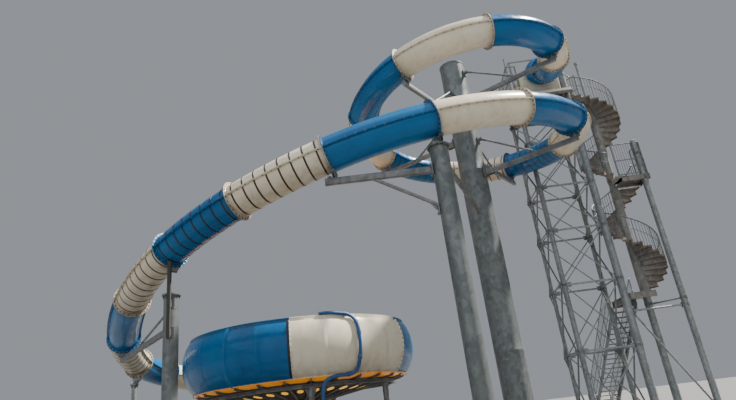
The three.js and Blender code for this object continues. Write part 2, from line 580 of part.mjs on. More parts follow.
addNode('tower_right_lattice', lattice(LEGS.frontMiddle, LEGS.backMiddle, LEVELS,
  -LEGS.frontMiddle.radius - sideOffset).intersect(betweenFrames), 'galvanised');

// Mast in the middle of the stair, with a thinner top and a small cap.
const mast = join([towerColumn(MAST.u, MAST.v, 0, DECK.top, MAST.radius),
  towerColumn(MAST.u, MAST.v, DECK.top - 100, MAST_TOP_Z - 120, 60),
  towerColumn(MAST.u, MAST.v, MAST_TOP_Z - 150, MAST_TOP_Z, 90),
  towerBlock(MAST.u - 250, MAST.u + 250, MAST.v - 250, MAST.v + 250, 0, 25)]);
addNode('stair_mast', mast, 'galvanised');
const mastClear = towerColumn(MAST.u, MAST.v, -10, DECK.top + GAP, MAST.radius + GAP);
const middleLegClear = towerColumn(frontMiddle.u, frontMiddle.v, -10, MAST_TOP_Z, frontMiddle.radius + GAP);
const leftPostClear = towerBlock(frontLeft.u - 31, frontLeft.u + 31, -31, 31, DECK.top - 400, MAST_TOP_Z);

// Outer stair leg with the pipes that tie it to the tower and to the mast.
const LANDING_Z = DECK.top - RISER * (UPPER_TREADS + 1);
const ACCESS_Z = LANDING_Z - RISER * (LOWER_TREADS + 1);
const STAIR_LEG_TOP = LANDING_Z + 1600;
const legAt = (leg, z) => towerAt(leg.u, leg.v, z);
addNode('stair_leg', cut(join([
  legSolid(LEGS.stairLeg, STAIR_LEG_TOP),
  beam(legAt(LEGS.stairLeg, 4150), legAt(LEGS.frontMiddle, 4150), 80, 80),
  beam(legAt(LEGS.stairLeg, 4420), legAt(MAST, 4420), 80, 80),
  beam(legAt(LEGS.stairLeg, 500), legAt(LEGS.frontMiddle, 4150), 70, 70),
]), [middleLegClear, mastClear]), 'galvanised');

// Start platform: a deck plate on beams, with the quarter landing where the stair arrives.
const deckPlateLow = DECK.top - 50;
const stairCentre = legAt(MAST, 0);
function sector(fromDegrees, toDegrees, radius, low, high) {
  const shape = new THREE.Shape();
  shape.moveTo(0, 0);
  const count = Math.max(1, Math.round((toDegrees - fromDegrees) / TREAD_DEGREES));
  for (let i = 0; i <= count; i += 1) {
    const angle = rad(fromDegrees + (toDegrees - fromDegrees) * i / count);
    shape.lineTo(radius * Math.cos(angle), radius * Math.sin(angle));
  }
  const geometry = new THREE.ExtrudeGeometry(shape, { depth: high - low, bevelEnabled: false });
  geometry.rotateZ(towerTurn);
  geometry.translate(stairCentre.x, stairCentre.y, low);
  return solid(geometry);
}
const JOIST = 60;
const joistUs = [DECK.left + JOIST / 2, frontLeft.u + 150, -1085, -frontMiddle.radius - JOIST];
const deck = join([
  towerBlock(DECK.left, DECK.right, DECK.front, DECK.back, deckPlateLow, DECK.top),
  sector(125, STAIR_TOP_DEGREES, STAIR_RADIUS, deckPlateLow, DECK.top),
  towerBlock(0, 345, 260, 1530, deckPlateLow, DECK.top),
  ...joistUs.map((u) => towerBlock(u - JOIST / 2, u + JOIST / 2, DECK.front, DECK.back,
    DECK.top - DECK.depth, deckPlateLow + 10)),
  ...[DECK.front + JOIST / 2, 330, TOWER.depth].map((v) => towerBlock(DECK.left, DECK.right,
    v - JOIST / 2, v + JOIST / 2, DECK.top - DECK.depth, deckPlateLow + 10)),
]);
addNode('start_platform', cut(deck, [mastClear, middleLegClear, leftPostClear]), 'grating');

// Railing along plan points: square posts with a top, a middle and a bottom rail.
function railing(points, low, height, spacing = 1000) {
  const pieces = [];
  const top = low + height - RAIL_SIZE / 2;
  for (let i = 0; i + 1 < points.length; i += 1) {
    const [a, b] = [points[i], points[i + 1]].map(([u, v]) => towerAt(u, v, 0));
    for (const z of [low + 120, low + height / 2, top]) {
      pieces.push(beam(a.clone().setZ(z), b.clone().setZ(z), RAIL_SIZE - 8, RAIL_SIZE));
    }
    const count = Math.max(1, Math.round(a.distanceTo(b) / spacing));
    for (let j = i === 0 ? 0 : 1; j <= count; j += 1) {
      const foot = a.clone().lerp(b, j / count);
      pieces.push(block(foot.x, foot.y, low + GAP, low + height - 8, RAIL_SIZE, RAIL_SIZE, towerTurn));
    }
  }
  return join(pieces);
}
const EDGE = 40;
const roundMast = (degrees, radius) => [MAST.u + radius * Math.cos(rad(degrees)),
  MAST.v + radius * Math.sin(rad(degrees))];
const housingLeft = -2030;
const platformEdge = [
  [housingLeft - EDGE, DECK.front + EDGE], [DECK.left + EDGE, DECK.front + EDGE],
  [DECK.left + EDGE, DECK.back - EDGE], [DECK.right - EDGE, DECK.back - EDGE], [DECK.right - EDGE, 1560],
  roundMast(129, STAIR_RADIUS - EDGE), roundMast(134, 260),
];
addNode('platform_railing', railing(platformEdge, DECK.top, DECK_RAIL), 'galvanised');

// Start housing: a tub, open on top and at the back, that the bell stands in.
const HOUSING = { left: housingLeft, right: -280, front: DECK.front + 20, back: 950, height: 800, wall: 30 };
const tub = (inset, front, back, low, high) => towerBlock(HOUSING.left + inset, HOUSING.right - inset,
  front, back, DECK.top + low, DECK.top + high);
const bellFill = [[0, 0], ...bellProfile(2 * GAP), [0, BELL_PIECE.length - FLANGE_LENGTH]];
addNode('start_housing', cut(tub(0, HOUSING.front, HOUSING.back, GAP, HOUSING.height), [
  tub(HOUSING.wall, HOUSING.front + HOUSING.wall, HOUSING.back + 100, -50, HOUSING.height + 50),
  bent(sections[0], bellFill)]), 'cream');

// Winding flight: treads on a sleeve round the mast.
const onStair = (startDegrees) => (k, radius, z) => {
  const angle = rad(startDegrees + TREAD_DEGREES * k) + towerTurn;
  return vec(stairCentre.x + radius * Math.cos(angle), stairCentre.y + radius * Math.sin(angle), z);
};
function windingFlight(topZ, startDegrees, count) {
  const pieces = [column(stairCentre.x, stairCentre.y, topZ - RISER * count - 60, topZ - RISER + 20,
    STAIR_CORE, 8)];
  for (let k = 1; k <= count; k += 1) {
    const z = topZ - RISER * k;
    const from = startDegrees + TREAD_DEGREES * (k - 1);
    pieces.push(sector(from - 2, from + TREAD_DEGREES, STAIR_RADIUS, z - 45, z));
  }
  return cut(join(pieces), [mastClear]);
}

// Railing of a winding flight: one baluster a tread, standing on it, and a round handrail.
const HANDRAIL_RADIUS = 24;
function windingRailing(topZ, startDegrees, count, firstPoint) {
  const at = onStair(startDegrees);
  const railRadius = STAIR_RADIUS - 45;
  const railTop = (k) => topZ - RISER * (k + 0.5) + RAIL_HEIGHT;
  const pieces = [];
  for (let k = 1; k <= count; k += 1) {
    const foot = at(k - 0.5, railRadius, 0);
    pieces.push(block(foot.x, foot.y, topZ - RISER * k + GAP, railTop(k - 0.5), 26, 26, Math.atan2(
      foot.y - stairCentre.y, foot.x - stairCentre.x)));
  }
  const points = Array.from({ length: count }, (_, i) => at(i + 0.5, railRadius, railTop(i + 0.5)));
  const curve = new THREE.CatmullRomCurve3([...firstPoint, ...points]);
  const profile = new THREE.Shape();
  profile.absarc(0, 0, HANDRAIL_RADIUS, 0, 2 * Math.PI);
  pieces.push(solid(new THREE.ExtrudeGeometry(profile,
    { steps: count + 1, curveSegments: 3, bevelEnabled: false, extrudePath: curve })));
  return join(pieces);
}
addNode('stair_upper_flight', windingFlight(DECK.top, STAIR_TOP_DEGREES, UPPER_TREADS), 'grating');
addNode('stair_lower_flight', windingFlight(LANDING_Z, 0, LOWER_TREADS), 'grating');
addNode('upper_flight_railing', windingRailing(DECK.top, STAIR_TOP_DEGREES, UPPER_TREADS,
  [towerAt(frontMiddle.radius + 2, 60, DECK.top + RAIL_HEIGHT)]).subtract(middleLegClear), 'galvanised');
addNode('lower_flight_railing', windingRailing(LANDING_Z, 0, LOWER_TREADS, []), 'galvanised');

// Middle landing at the stair's front right, with its balustrade.
const stairLegClear = towerColumn(LEGS.stairLeg.u, LEGS.stairLeg.v, -10, STAIR_LEG_TOP + 100,
  LEGS.stairLeg.radius + GAP);
const landingRight = 2360;
const landingFront = -130;
const landingArrive = STAIR_TOP_DEGREES + TREAD_DEGREES * UPPER_TREADS - 360;
const landing = join([
  towerBlock(MAST.u, landingRight, landingFront, MAST.v, LANDING_Z - 50, LANDING_Z),
  sector(landingArrive, 300, STAIR_RADIUS, LANDING_Z - 50, LANDING_Z),
  towerBlock(MAST.u, landingRight, landingFront, landingFront + 60, LANDING_Z - 220, LANDING_Z - 20),
  towerBlock(landingRight - 60, landingRight, landingFront, MAST.v, LANDING_Z - 220, LANDING_Z - 20),
  towerBlock(MAST.u, landingRight, MAST.v - 60, MAST.v, LANDING_Z - 150, LANDING_Z - 20),
  railing([[MAST.u - 60, landingFront + EDGE], [landingRight - EDGE, landingFront + EDGE],
    [landingRight - EDGE, MAST.v - EDGE]], LANDING_Z - 30, DECK_RAIL + 30),
]);
addNode('middle_landing', cut(landing, [mastClear, stairLegClear]), 'grating');

// Access landing at the stair's foot and the straight flight that leads up to it.
const ACCESS = { left: 190, right: MAST.u, front: -60, back: 1980 };
const accessLanding = join([
  towerBlock(ACCESS.left, ACCESS.right, ACCESS.front, ACCESS.back, ACCESS_Z - 50, ACCESS_Z),
  sector(TREAD_DEGREES * LOWER_TREADS - 360, 108, STAIR_RADIUS, ACCESS_Z - 50, ACCESS_Z),
  towerBlock(ACCESS.left, ACCESS.right, ACCESS.front, ACCESS.front + 60, ACCESS_Z - 240, ACCESS_Z - 20),
  towerBlock(ACCESS.left, ACCESS.right, ACCESS.back - 60, ACCESS.back, ACCESS_Z - 240, ACCESS_Z - 20),
  towerBlock(ACCESS.left, ACCESS.left + 60, ACCESS.front, ACCESS.back, ACCESS_Z - 240, ACCESS_Z - 20),
]);
const pastLanding = towerBlock(0, 2200, ACCESS.back, 2200, ACCESS_Z - 300, ACCESS_Z + 50);
addNode('access_landing', cut(accessLanding, [mastClear, middleLegClear, pastLanding]), 'grating');

const FLIGHT = { left: ACCESS.left + 20, right: ACCESS.right - 20, count: Math.round(ACCESS_Z / RISER) - 1 };
const STRINGER = { width: 40, height: 230 };
const flightRun = STRAIGHT_GOING * FLIGHT.count;
const flightStart = ACCESS.back + GAP;
const PITCH = RISER / STRAIGHT_GOING;
function straightFlight() {
  const pieces = [];
  for (const u of [FLIGHT.left, FLIGHT.right]) {
    const low = towerAt(u, flightStart + flightRun, 0);
    pieces.push(beam(towerAt(u, flightStart - 30, ACCESS_Z - 180 + 30 * PITCH),
      towerAt(u, flightStart + flightRun + 40, RISER - 180 - 40 * PITCH), STRINGER.width, STRINGER.height));
    pieces.push(block(low.x, low.y, 0, 20, 160, 300, towerTurn));
  }
  for (let k = 1; k <= FLIGHT.count; k += 1) {
    const v = flightStart + STRAIGHT_GOING * (k - 1);
    const z = ACCESS_Z - RISER * k;
    pieces.push(towerBlock(FLIGHT.left, FLIGHT.right, v, v + STRAIGHT_GOING + 10, z - 40, z));
  }
  const below = towerBlock(-200, 1500, ACCESS.front, flightStart + flightRun + 600, -500, 0);
  const landingSide = towerBlock(-200, 1500, ACCESS.front, flightStart, 0, ACCESS_Z + 2000);
  return cut(join(pieces), [below, landingSide]);
}
addNode('access_flight', straightFlight(), 'galvanised');

// Railing of the straight flight: posts on the outer face of a stringer, a middle and a top rail.
function flightRailing(stringer, outwards) {
  const u = stringer + outwards * (STRINGER.width / 2 + RAIL_SIZE / 2 + GAP);
  const pieces = [];
  for (const rise of [RAIL_HEIGHT / 2, RAIL_HEIGHT]) {
    const overhang = 60 + rise / 50;
    pieces.push(beam(towerAt(u, flightStart + overhang, ACCESS_Z - 20 - overhang * PITCH + rise),
      towerAt(u, flightStart + flightRun, ACCESS_Z - 20 - flightRun * PITCH + rise),
      RAIL_SIZE - 8, RAIL_SIZE));
  }
  const POSTS = 5;
  for (let k = 0; k <= POSTS; k += 1) {
    const v = flightStart + 120 + (flightRun - 180) * k / POSTS;
    const z = ACCESS_Z - (v - flightStart) * PITCH;
    pieces.push(towerBlock(u - RAIL_SIZE / 2, u + RAIL_SIZE / 2, v - 15, v + 15,
      z - 240, z - 30 + RAIL_HEIGHT));
  }
  return join(pieces);
}
addNode('access_railing_left', flightRailing(FLIGHT.left, -1), 'galvanised');
addNode('access_railing_right', flightRailing(FLIGHT.right, 1), 'galvanised');

export default group;
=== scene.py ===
"""Visual model of a water slide tower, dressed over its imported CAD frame.

A closed glass fibre tube starts at a tub on a stair tower, coils round a steel column,
sweeps past two more columns and ends in an open bowl. Metres, +Z up, origin at the main
column's foot. Every shape is worked out as whole numpy arrays and put into a mesh.
"""

from __future__ import annotations

import logging
import math
from dataclasses import dataclass, field
from enum import Enum

import bpy
import numpy as np
from mathutils import Matrix

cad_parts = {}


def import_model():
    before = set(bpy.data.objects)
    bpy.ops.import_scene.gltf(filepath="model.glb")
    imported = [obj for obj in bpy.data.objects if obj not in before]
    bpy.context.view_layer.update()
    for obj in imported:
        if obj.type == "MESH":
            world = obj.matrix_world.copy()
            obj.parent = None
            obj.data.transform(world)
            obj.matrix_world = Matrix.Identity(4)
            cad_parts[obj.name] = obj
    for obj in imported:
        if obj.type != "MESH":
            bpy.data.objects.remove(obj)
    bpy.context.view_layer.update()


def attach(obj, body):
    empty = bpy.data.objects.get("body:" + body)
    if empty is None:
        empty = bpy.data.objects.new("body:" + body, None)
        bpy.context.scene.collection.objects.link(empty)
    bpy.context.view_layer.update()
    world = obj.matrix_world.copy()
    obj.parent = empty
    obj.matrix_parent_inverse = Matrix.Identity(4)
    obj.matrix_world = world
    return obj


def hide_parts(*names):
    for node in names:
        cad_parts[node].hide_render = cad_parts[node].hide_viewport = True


LOG = logging.getLogger("slide_tower")
ROOT = "root"
TAU = 2 * math.pi
SMOOTH_ANGLE = math.radians(38)
UP = np.array([0.0, 0.0, 1.0])

Array = np.ndarray
Value = float | Array
Span = tuple[float, float]
Colour = tuple[float, float, float]
Shape = tuple[Array, list[Array]]
Root = tuple[float, float, float]
Socket = bpy.types.NodeSocket
Material = bpy.types.Material


class Gel(Enum):
    """Colours of the moulded glass fibre pieces."""

    CREAM = "cream"
    BLUE = "blue"


def unit(v: Array) -> Array:
    """Vectors scaled to length one along the last axis."""
    return v / np.maximum(np.linalg.norm(v, axis=-1, keepdims=True), 1e-12)


def round_angles(sides: int) -> Array:
    """Evenly spread angles of a full turn."""
    return TAU * np.arange(sides) / sides


def circle(radius: float, sides: int) -> Array:
    """Outline of a circle: angle a gives (radius cos a, radius sin a)."""
    a = round_angles(sides)
    return np.stack([radius * np.cos(a), radius * np.sin(a)], axis=1)


def rounded(width: float, height: float, corner: float = 0.008, steps: int = 1) -> Array:
    """Outline of a rectangle whose corners are quarter circles.

    Args:
        width: full size along the first axis.
        height: full size along the second axis.
        corner: corner radius.
        steps: arcs per corner.

    Returns:
        Array of shape (4 * (steps + 1), 2), counter-clockwise.
    """
    corner = min(corner, 0.45 * width, 0.45 * height)
    t = np.linspace(0, math.pi / 2, steps + 1)
    parts = []
    for k, (sx, sy) in enumerate([(1, 1), (-1, 1), (-1, -1), (1, -1)]):
        middle = [sx * (width / 2 - corner), sy * (height / 2 - corner)]
        a = t + k * math.pi / 2
        parts.append(middle + corner * np.stack([np.cos(a), np.sin(a)], axis=1))
    return np.concatenate(parts)


def angle_outline(size: float, thick: float) -> Array:
    """Outline of a rolled angle with equal sides."""
    h, t = size / 2, thick - size / 2
    return np.array([(-h, -h), (h, -h), (h, t), (t, t), (t, h), (-h, h)])


def channel_outline(width: float, height: float, thick: float) -> Array:
    """Outline of a rolled channel whose web is on its left."""
    w, h, t = width / 2, height / 2, thick
    return np.array([(-w, -h), (w, -h), (w, t - h), (t - w, t - h), (t - w, h - t), (w, h - t),
                     (w, h), (-w, h)])


def grid_faces(rows: int, columns: int, closed: bool) -> Array:
    """Quads of a grid of points whose columns wrap; point (i, j) is number i * columns + j.

    Args:
        rows: number of rows of points.
        columns: points in a row.
        closed: the last row joins the first.

    Returns:
        Array of shape (faces, 4).
    """
    i, j = np.divmod(np.arange((rows if closed else rows - 1) * columns), columns)
    i2, j2 = (i + 1) % rows, (j + 1) % columns
    corners = [i * columns + j, i * columns + j2, i2 * columns + j2, i2 * columns + j]
    return np.stack(corners, axis=1)


def path_frames(path: Array) -> tuple[Array, Array]:
    """Side and up directions along a path, turned as little as possible from point to point.

    Args:
        path: points of shape (n, 3).

    Returns:
        Two arrays of shape (n, 3), square to the path and to each other.
    """
    ahead = unit(np.gradient(path, axis=0))
    first = UP if abs(ahead[0, 2]) < 0.95 else np.array([0.0, 1.0, 0.0])
    ups = [unit(first - ahead[0] * (first @ ahead[0]))]
    for step in ahead[1:]:
        ups.append(unit(ups[-1] - step * (ups[-1] @ step)))
    return np.cross(ahead, ups), np.array(ups)


def spline(knots: Array, steps: int) -> Array:
    """Smooth curve through knots: a Catmull-Rom cubic between each pair.

    Args:
        knots: shape (n, 3).
        steps: points for each stretch.

    Returns:
        Points of shape ((n - 1) * steps + 1, 3).
    """
    padded = np.concatenate([[2 * knots[0] - knots[1]], knots, [2 * knots[-1] - knots[-2]]])
    t = (np.arange(steps) / steps)[None, :, None]
    p0, p1, p2, p3 = (padded[k:len(padded) - 3 + k][:, None] for k in range(4))
    curve = 0.5 * (2 * p1 + (p2 - p0) * t + (2 * p0 - 5 * p1 + 4 * p2 - p3) * t ** 2
                   + (3 * p1 - p0 - 3 * p2 + p3) * t ** 3)
    return np.concatenate([curve.reshape(-1, 3), knots[-1:]])


def prism(radius: float, low: float, high: float, sides: int) -> Shape:
    """Upright prism about the Z axis.

    Args:
        radius: distance of its corners from the axis.
        low: height of its foot.
        high: height of its top.
        sides: number of corners.

    Returns:
        Points and faces.
    """
    ring, number = circle(radius, sides), np.arange(sides)[None]
    points = np.concatenate([np.column_stack([ring, np.full(sides, z)]) for z in (low, high)])
    return points, [grid_faces(2, sides, False), number[:, ::-1], number + sides]


def bolt_shape(head: float) -> Shape:
    """Hexagon head over a round washer, standing on the surface at its origin.

    Args:
        head: radius of the head in metres.

    Returns:
        Points and faces with +Z away from the surface.
    """
    washer, washer_faces = prism(1.5 * head, -0.1 * head, 0.2 * head, 10)
    top, top_faces = prism(head, 0.15 * head, 0.95 * head, 6)
    return np.concatenate([washer, top]), washer_faces + [f + len(washer) for f in top_faces]


BOLT = bolt_shape(0.015)
BIG_BOLT = bolt_shape(0.024)


class MeshBag:
    """Collects closed surfaces and makes one mesh of them."""

    def __init__(self) -> None:
        """An empty bag."""
        self.points: list[Array] = []
        self.faces: list[tuple[Array, int]] = []
        self.grime_and_shade_shares: list[Array] = []
        self.count = 0

    def add(self, points: Array, faces: list[Array], finish: int = 0,
            grime_and_shade: Array | None = None) -> None:
        """Adds closed surfaces, their faces turned outwards by the signed volume.

        volume = sum of a . (b x c) over the fan triangles (a, b, c) of every face

        Args:
            points: shape (n, 3).
            faces: arrays of shape (f, k), one for each number of corners k.
            finish: index of the material.
            grime_and_shade: share of dirt and painted shade of each point, 0 to 1.
        """
        volume = 0.0
        for array in faces:
            first = points[array[:, 0]]
            for k in range(1, array.shape[1] - 1):
                across = np.cross(points[array[:, k]], points[array[:, k + 1]])
                volume += np.einsum("ij,ij->", first, across)
        for array in faces:
            self.faces.append(((array[:, ::-1] if volume < 0 else array) + self.count, finish))
        self.points.append(points)
        self.grime_and_shade_shares.append(np.zeros(len(points)) if grime_and_shade is None else grime_and_shade)
        self.count += len(points)

    def build(self, name: str, finishes: list[Material]) -> bpy.types.Object:
        """Makes the object, smooth except at its sharp edges.

        Args:
            name: name of the object.
            finishes: its materials, in the order of the finish numbers.

        Returns:
            The linked object, at the origin.
        """
        mesh = bpy.data.meshes.new(name)
        points = np.concatenate(self.points)
        sizes = np.concatenate([np.full(len(f), f.shape[1]) for f, _ in self.faces])
        corners = np.concatenate([f.ravel() for f, _ in self.faces])
        finish = np.concatenate([np.full(len(f), m) for f, m in self.faces])
        mesh.vertices.add(len(points))
        mesh.vertices.foreach_set("co", points.astype(np.float32).ravel())
        mesh.loops.add(len(corners))
        mesh.loops.foreach_set("vertex_index", corners.astype(np.int32))
        mesh.polygons.add(len(sizes))
        mesh.polygons.foreach_set("loop_start", (np.cumsum(sizes) - sizes).astype(np.int32))
        mesh.polygons.foreach_set("material_index", finish.astype(np.int32))
        mesh.update(calc_edges=True)
        dirt_and_shade = mesh.attributes.new("grime_and_shade", "FLOAT", "POINT")
        dirt_and_shade.data.foreach_set("value", np.concatenate(self.grime_and_shade_shares).astype(np.float32))
        mesh.shade_smooth()
        mesh.set_sharp_from_angle(angle=SMOOTH_ANGLE)
        mesh.validate()
        for material in finishes:
            mesh.materials.append(material)
        piece = bpy.data.objects.new(name, mesh)
        bpy.context.scene.collection.objects.link(piece)
        return piece

    def hand_in(self, name: str, finishes: list[Material], slot: str, *nodes: str) -> None:
        """Builds the object and makes it ride on the part in place of its solids."""
        place_piece(self.build(name, finishes), slot, *nodes)

    def sheet(self, grid: Array, closed: bool = False, finish: int = 0,
              grime_and_shade: Array | None = None) -> None:
        """Adds a grid of points whose columns wrap; open rows get an end face each.

        Args:
            grid: shape (rows, columns, 3).
            closed: the last row joins the first.
            finish: index of the material.
            grime_and_shade: share of dirt and painted shade, shape (rows, columns).
        """
        rows, columns = grid.shape[:2]
        faces = [grid_faces(rows, columns, closed)]
        if not closed:
            ring = np.arange(columns)[None]
            faces += [ring[:, ::-1], ring + (rows - 1) * columns]
        self.add(grid.reshape(-1, 3), faces, finish, None if grime_and_shade is None else grime_and_shade.ravel())

    def sweep(self, path: Array, outline: Array, finish: int = 0,
              stain: Array | None = None) -> None:
        """Carries an outline along a path: point = path + side x outline[0] + up x outline[1].

        Args:
            path: shape (n, 3).
            outline: shape (m, 2), closed on itself.
            finish: index of the material.
            stain: stain share of each outline point.
        """
        side, up = path_frames(path)
        grid = (path[:, None] + side[:, None] * outline[None, :, :1]
                + up[:, None] * outline[None, :, 1:])
        self.sheet(grid, False, finish, None if stain is None else np.tile(stain, (len(path), 1)))

    def copies(self, points: Array, faces: list[Array], finish: int) -> None:
        """Adds copies of one closed shape.

        Args:
            points: shape (copies, n, 3).
            faces: faces of the first copy.
            finish: index of the material.
        """
        count, size = points.shape[:2]
        shift = (np.arange(count) * size)[:, None, None]
        shifted = [(f[None] + shift).reshape(-1, f.shape[1]) for f in faces]
        self.add(points.reshape(-1, 3), shifted, finish)

    def bars(self, starts: Array, ends: Array, outline: Array, finish: int = 0) -> None:
        """Straight bars of one outline, whose first axis lies level.

        point = end + side x outline[0] + up x outline[1], side being level

        Args:
            starts: start point or points, shape (3,) or (n, 3).
            ends: end point or points.
            outline: shape (m, 2), closed on itself.
            finish: index of the material.
        """
        starts, ends = np.broadcast_arrays(np.atleast_2d(starts), np.atleast_2d(ends))
        ahead = unit(ends - starts)
        level = np.cross(UP, ahead)
        upright = np.linalg.norm(level, axis=1, keepdims=True) < 1e-4
        side = unit(np.where(upright, [[1.0, 0.0, 0.0]], level))
        up = np.cross(ahead, side)
        across = outline[None, :, :1] * side[:, None] + outline[None, :, 1:] * up[:, None]
        points = np.concatenate([starts[:, None] + across, ends[:, None] + across], axis=1)
        ring = np.arange(len(outline))[None]
        faces = [grid_faces(2, len(outline), False), ring[:, ::-1], ring + len(outline)]
        self.copies(points, faces, finish)

    def lathe(self, centre: Span, profile: Array, sides: int, finish: int = 0) -> None:
        """Turns a closed profile of (radius, height) points about an upright axis.

        point = (x + radius cos a, y + radius sin a, height)

        Args:
            centre: plan position (x, y) of the axis.
            profile: shape (m, 2); where it touches the axis its ends are closed by a face.
            sides: number of steps round the axis.
            finish: index of the material.
        """
        a = round_angles(sides)
        touches = profile[:, 0].min() < 1e-6
        r, z = profile[profile[:, 0] > 1e-6].T if touches else profile.T
        x, y = centre[0] + r[:, None] * np.cos(a), centre[1] + r[:, None] * np.sin(a)
        grid = np.stack(np.broadcast_arrays(x, y, z[:, None]), axis=-1)
        self.sheet(grid, not touches, finish)

    def block(self, centre: Array, size: tuple[float, float, float], turn: float = 0.0,
              finish: int = 0, corner: float = 0.004) -> None:
        """Upright plate or box with rounded upright edges.

        Args:
            centre: its middle.
            size: full size along its own three axes.
            turn: turn about Z in radians.
            finish: index of the material.
            corner: radius of the upright edges.
        """
        flat = rounded(size[0], size[1], corner) @ turned(turn)
        grid = np.zeros((2, len(flat), 3))
        grid[..., :2] = flat
        grid[..., 2] = [[-size[2] / 2], [size[2] / 2]]
        self.sheet(grid + np.asarray(centre), False, finish)

    def plate(self, corners: Array, half: Array, finish: int = 0) -> None:
        """Flat plate of the given corners, thickened by the vector half to either side."""
        self.sheet(np.stack([corners - half, corners + half]), False, finish)

    def webs(self, centre: Span, count: int, radii: tuple[float, ...],
             heights: tuple[float, ...], half: float, turn: float = 0.0) -> None:
        """Upright web plates spread evenly round a pipe.

        Args:
            centre: plan position (x, y) of the pipe.
            count: number of webs.
            radii: distance of each web corner from the pipe's axis.
            heights: height of each web corner.
            half: half the plates' thickness.
            turn: turn of the whole set in radians.
        """
        for angle in round_angles(count) + math.pi / count + turn:
            out = np.array([math.cos(angle), math.sin(angle), 0.0])
            corners = [*centre, 0.0] + np.outer(radii, out) + np.outer(heights, UP)
            self.plate(corners, np.cross(UP, out) * half)

    def stamp(self, template: Shape, places: Array, axes: Array, finish: int = 1) -> None:
        """Puts a small closed shape at many places.

        Args:
            template: its points and faces, with +Z as its axis.
            places: shape (n, 3).
            axes: direction of its axis, one for all or one for each place.
            finish: index of the material.
        """
        points, faces = template
        places = np.asarray(places)
        axes = unit(np.broadcast_to(np.asarray(axes, float), places.shape))
        hint = np.where(np.abs(axes[:, 2:]) < 0.9, [UP], [[1.0, 0.0, 0.0]])
        side = unit(np.cross(hint, axes))
        basis = np.stack([side, np.cross(axes, side), axes], axis=1)
        self.copies(np.einsum("pk,nkd->npd", points, basis) + places[:, None], faces, finish)

    def corner_bolts(self, template: Shape, centre: Array, reach: Span, turn: float = 0.0,
                     finish: int = 1) -> None:
        """Four bolts that stand on a level plate near its corners.

        Args:
            template: shape of the bolt.
            centre: middle of the plate's top.
            reach: distance of the bolts from the middle along the plate's own axes.
            turn: turn of the plate about Z in radians.
            finish: index of the material.
        """
        flat = np.array([(i * reach[0], j * reach[1]) for i in (-1, 1) for j in (-1, 1)])
        spots = np.column_stack([flat @ turned(turn), np.zeros(4)])
        self.stamp(template, centre + spots, UP, finish)


def turned(turn: float) -> Array:
    """Matrix that turns row vectors of the plan by an angle in radians."""
    c, s = math.cos(turn), math.sin(turn)
    return np.array([(c, s), (-s, c)])


def place_piece(piece: bpy.types.Object, slot: str, *nodes: str) -> None:
    """Makes a finished piece ride on the part and hides the solids it stands for.

    Args:
        piece: the object.
        slot: material slot of the record; not used.
        nodes: solids that it replaces.
    """
    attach(piece, ROOT)
    if nodes:
        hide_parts(*nodes)
    LOG.info("%s: %d faces", piece.name, len(piece.data.polygons))


def cut(piece: bpy.types.Object, cutter: bpy.types.Object) -> None:
    """Cuts a piece with a closed body, puts the result in its mesh and drops the body.

    Args:
        piece: the object to cut.
        cutter: the body, which is deleted.
    """
    modifier = piece.modifiers.new("cut", "BOOLEAN")
    modifier.operation = "DIFFERENCE"
    modifier.solver = "EXACT"
    modifier.object = cutter
    graph = bpy.context.evaluated_depsgraph_get()
    result = bpy.data.meshes.new_from_object(piece.evaluated_get(graph))
    piece.modifiers.clear()
    piece.data = result
    bpy.data.objects.remove(cutter)


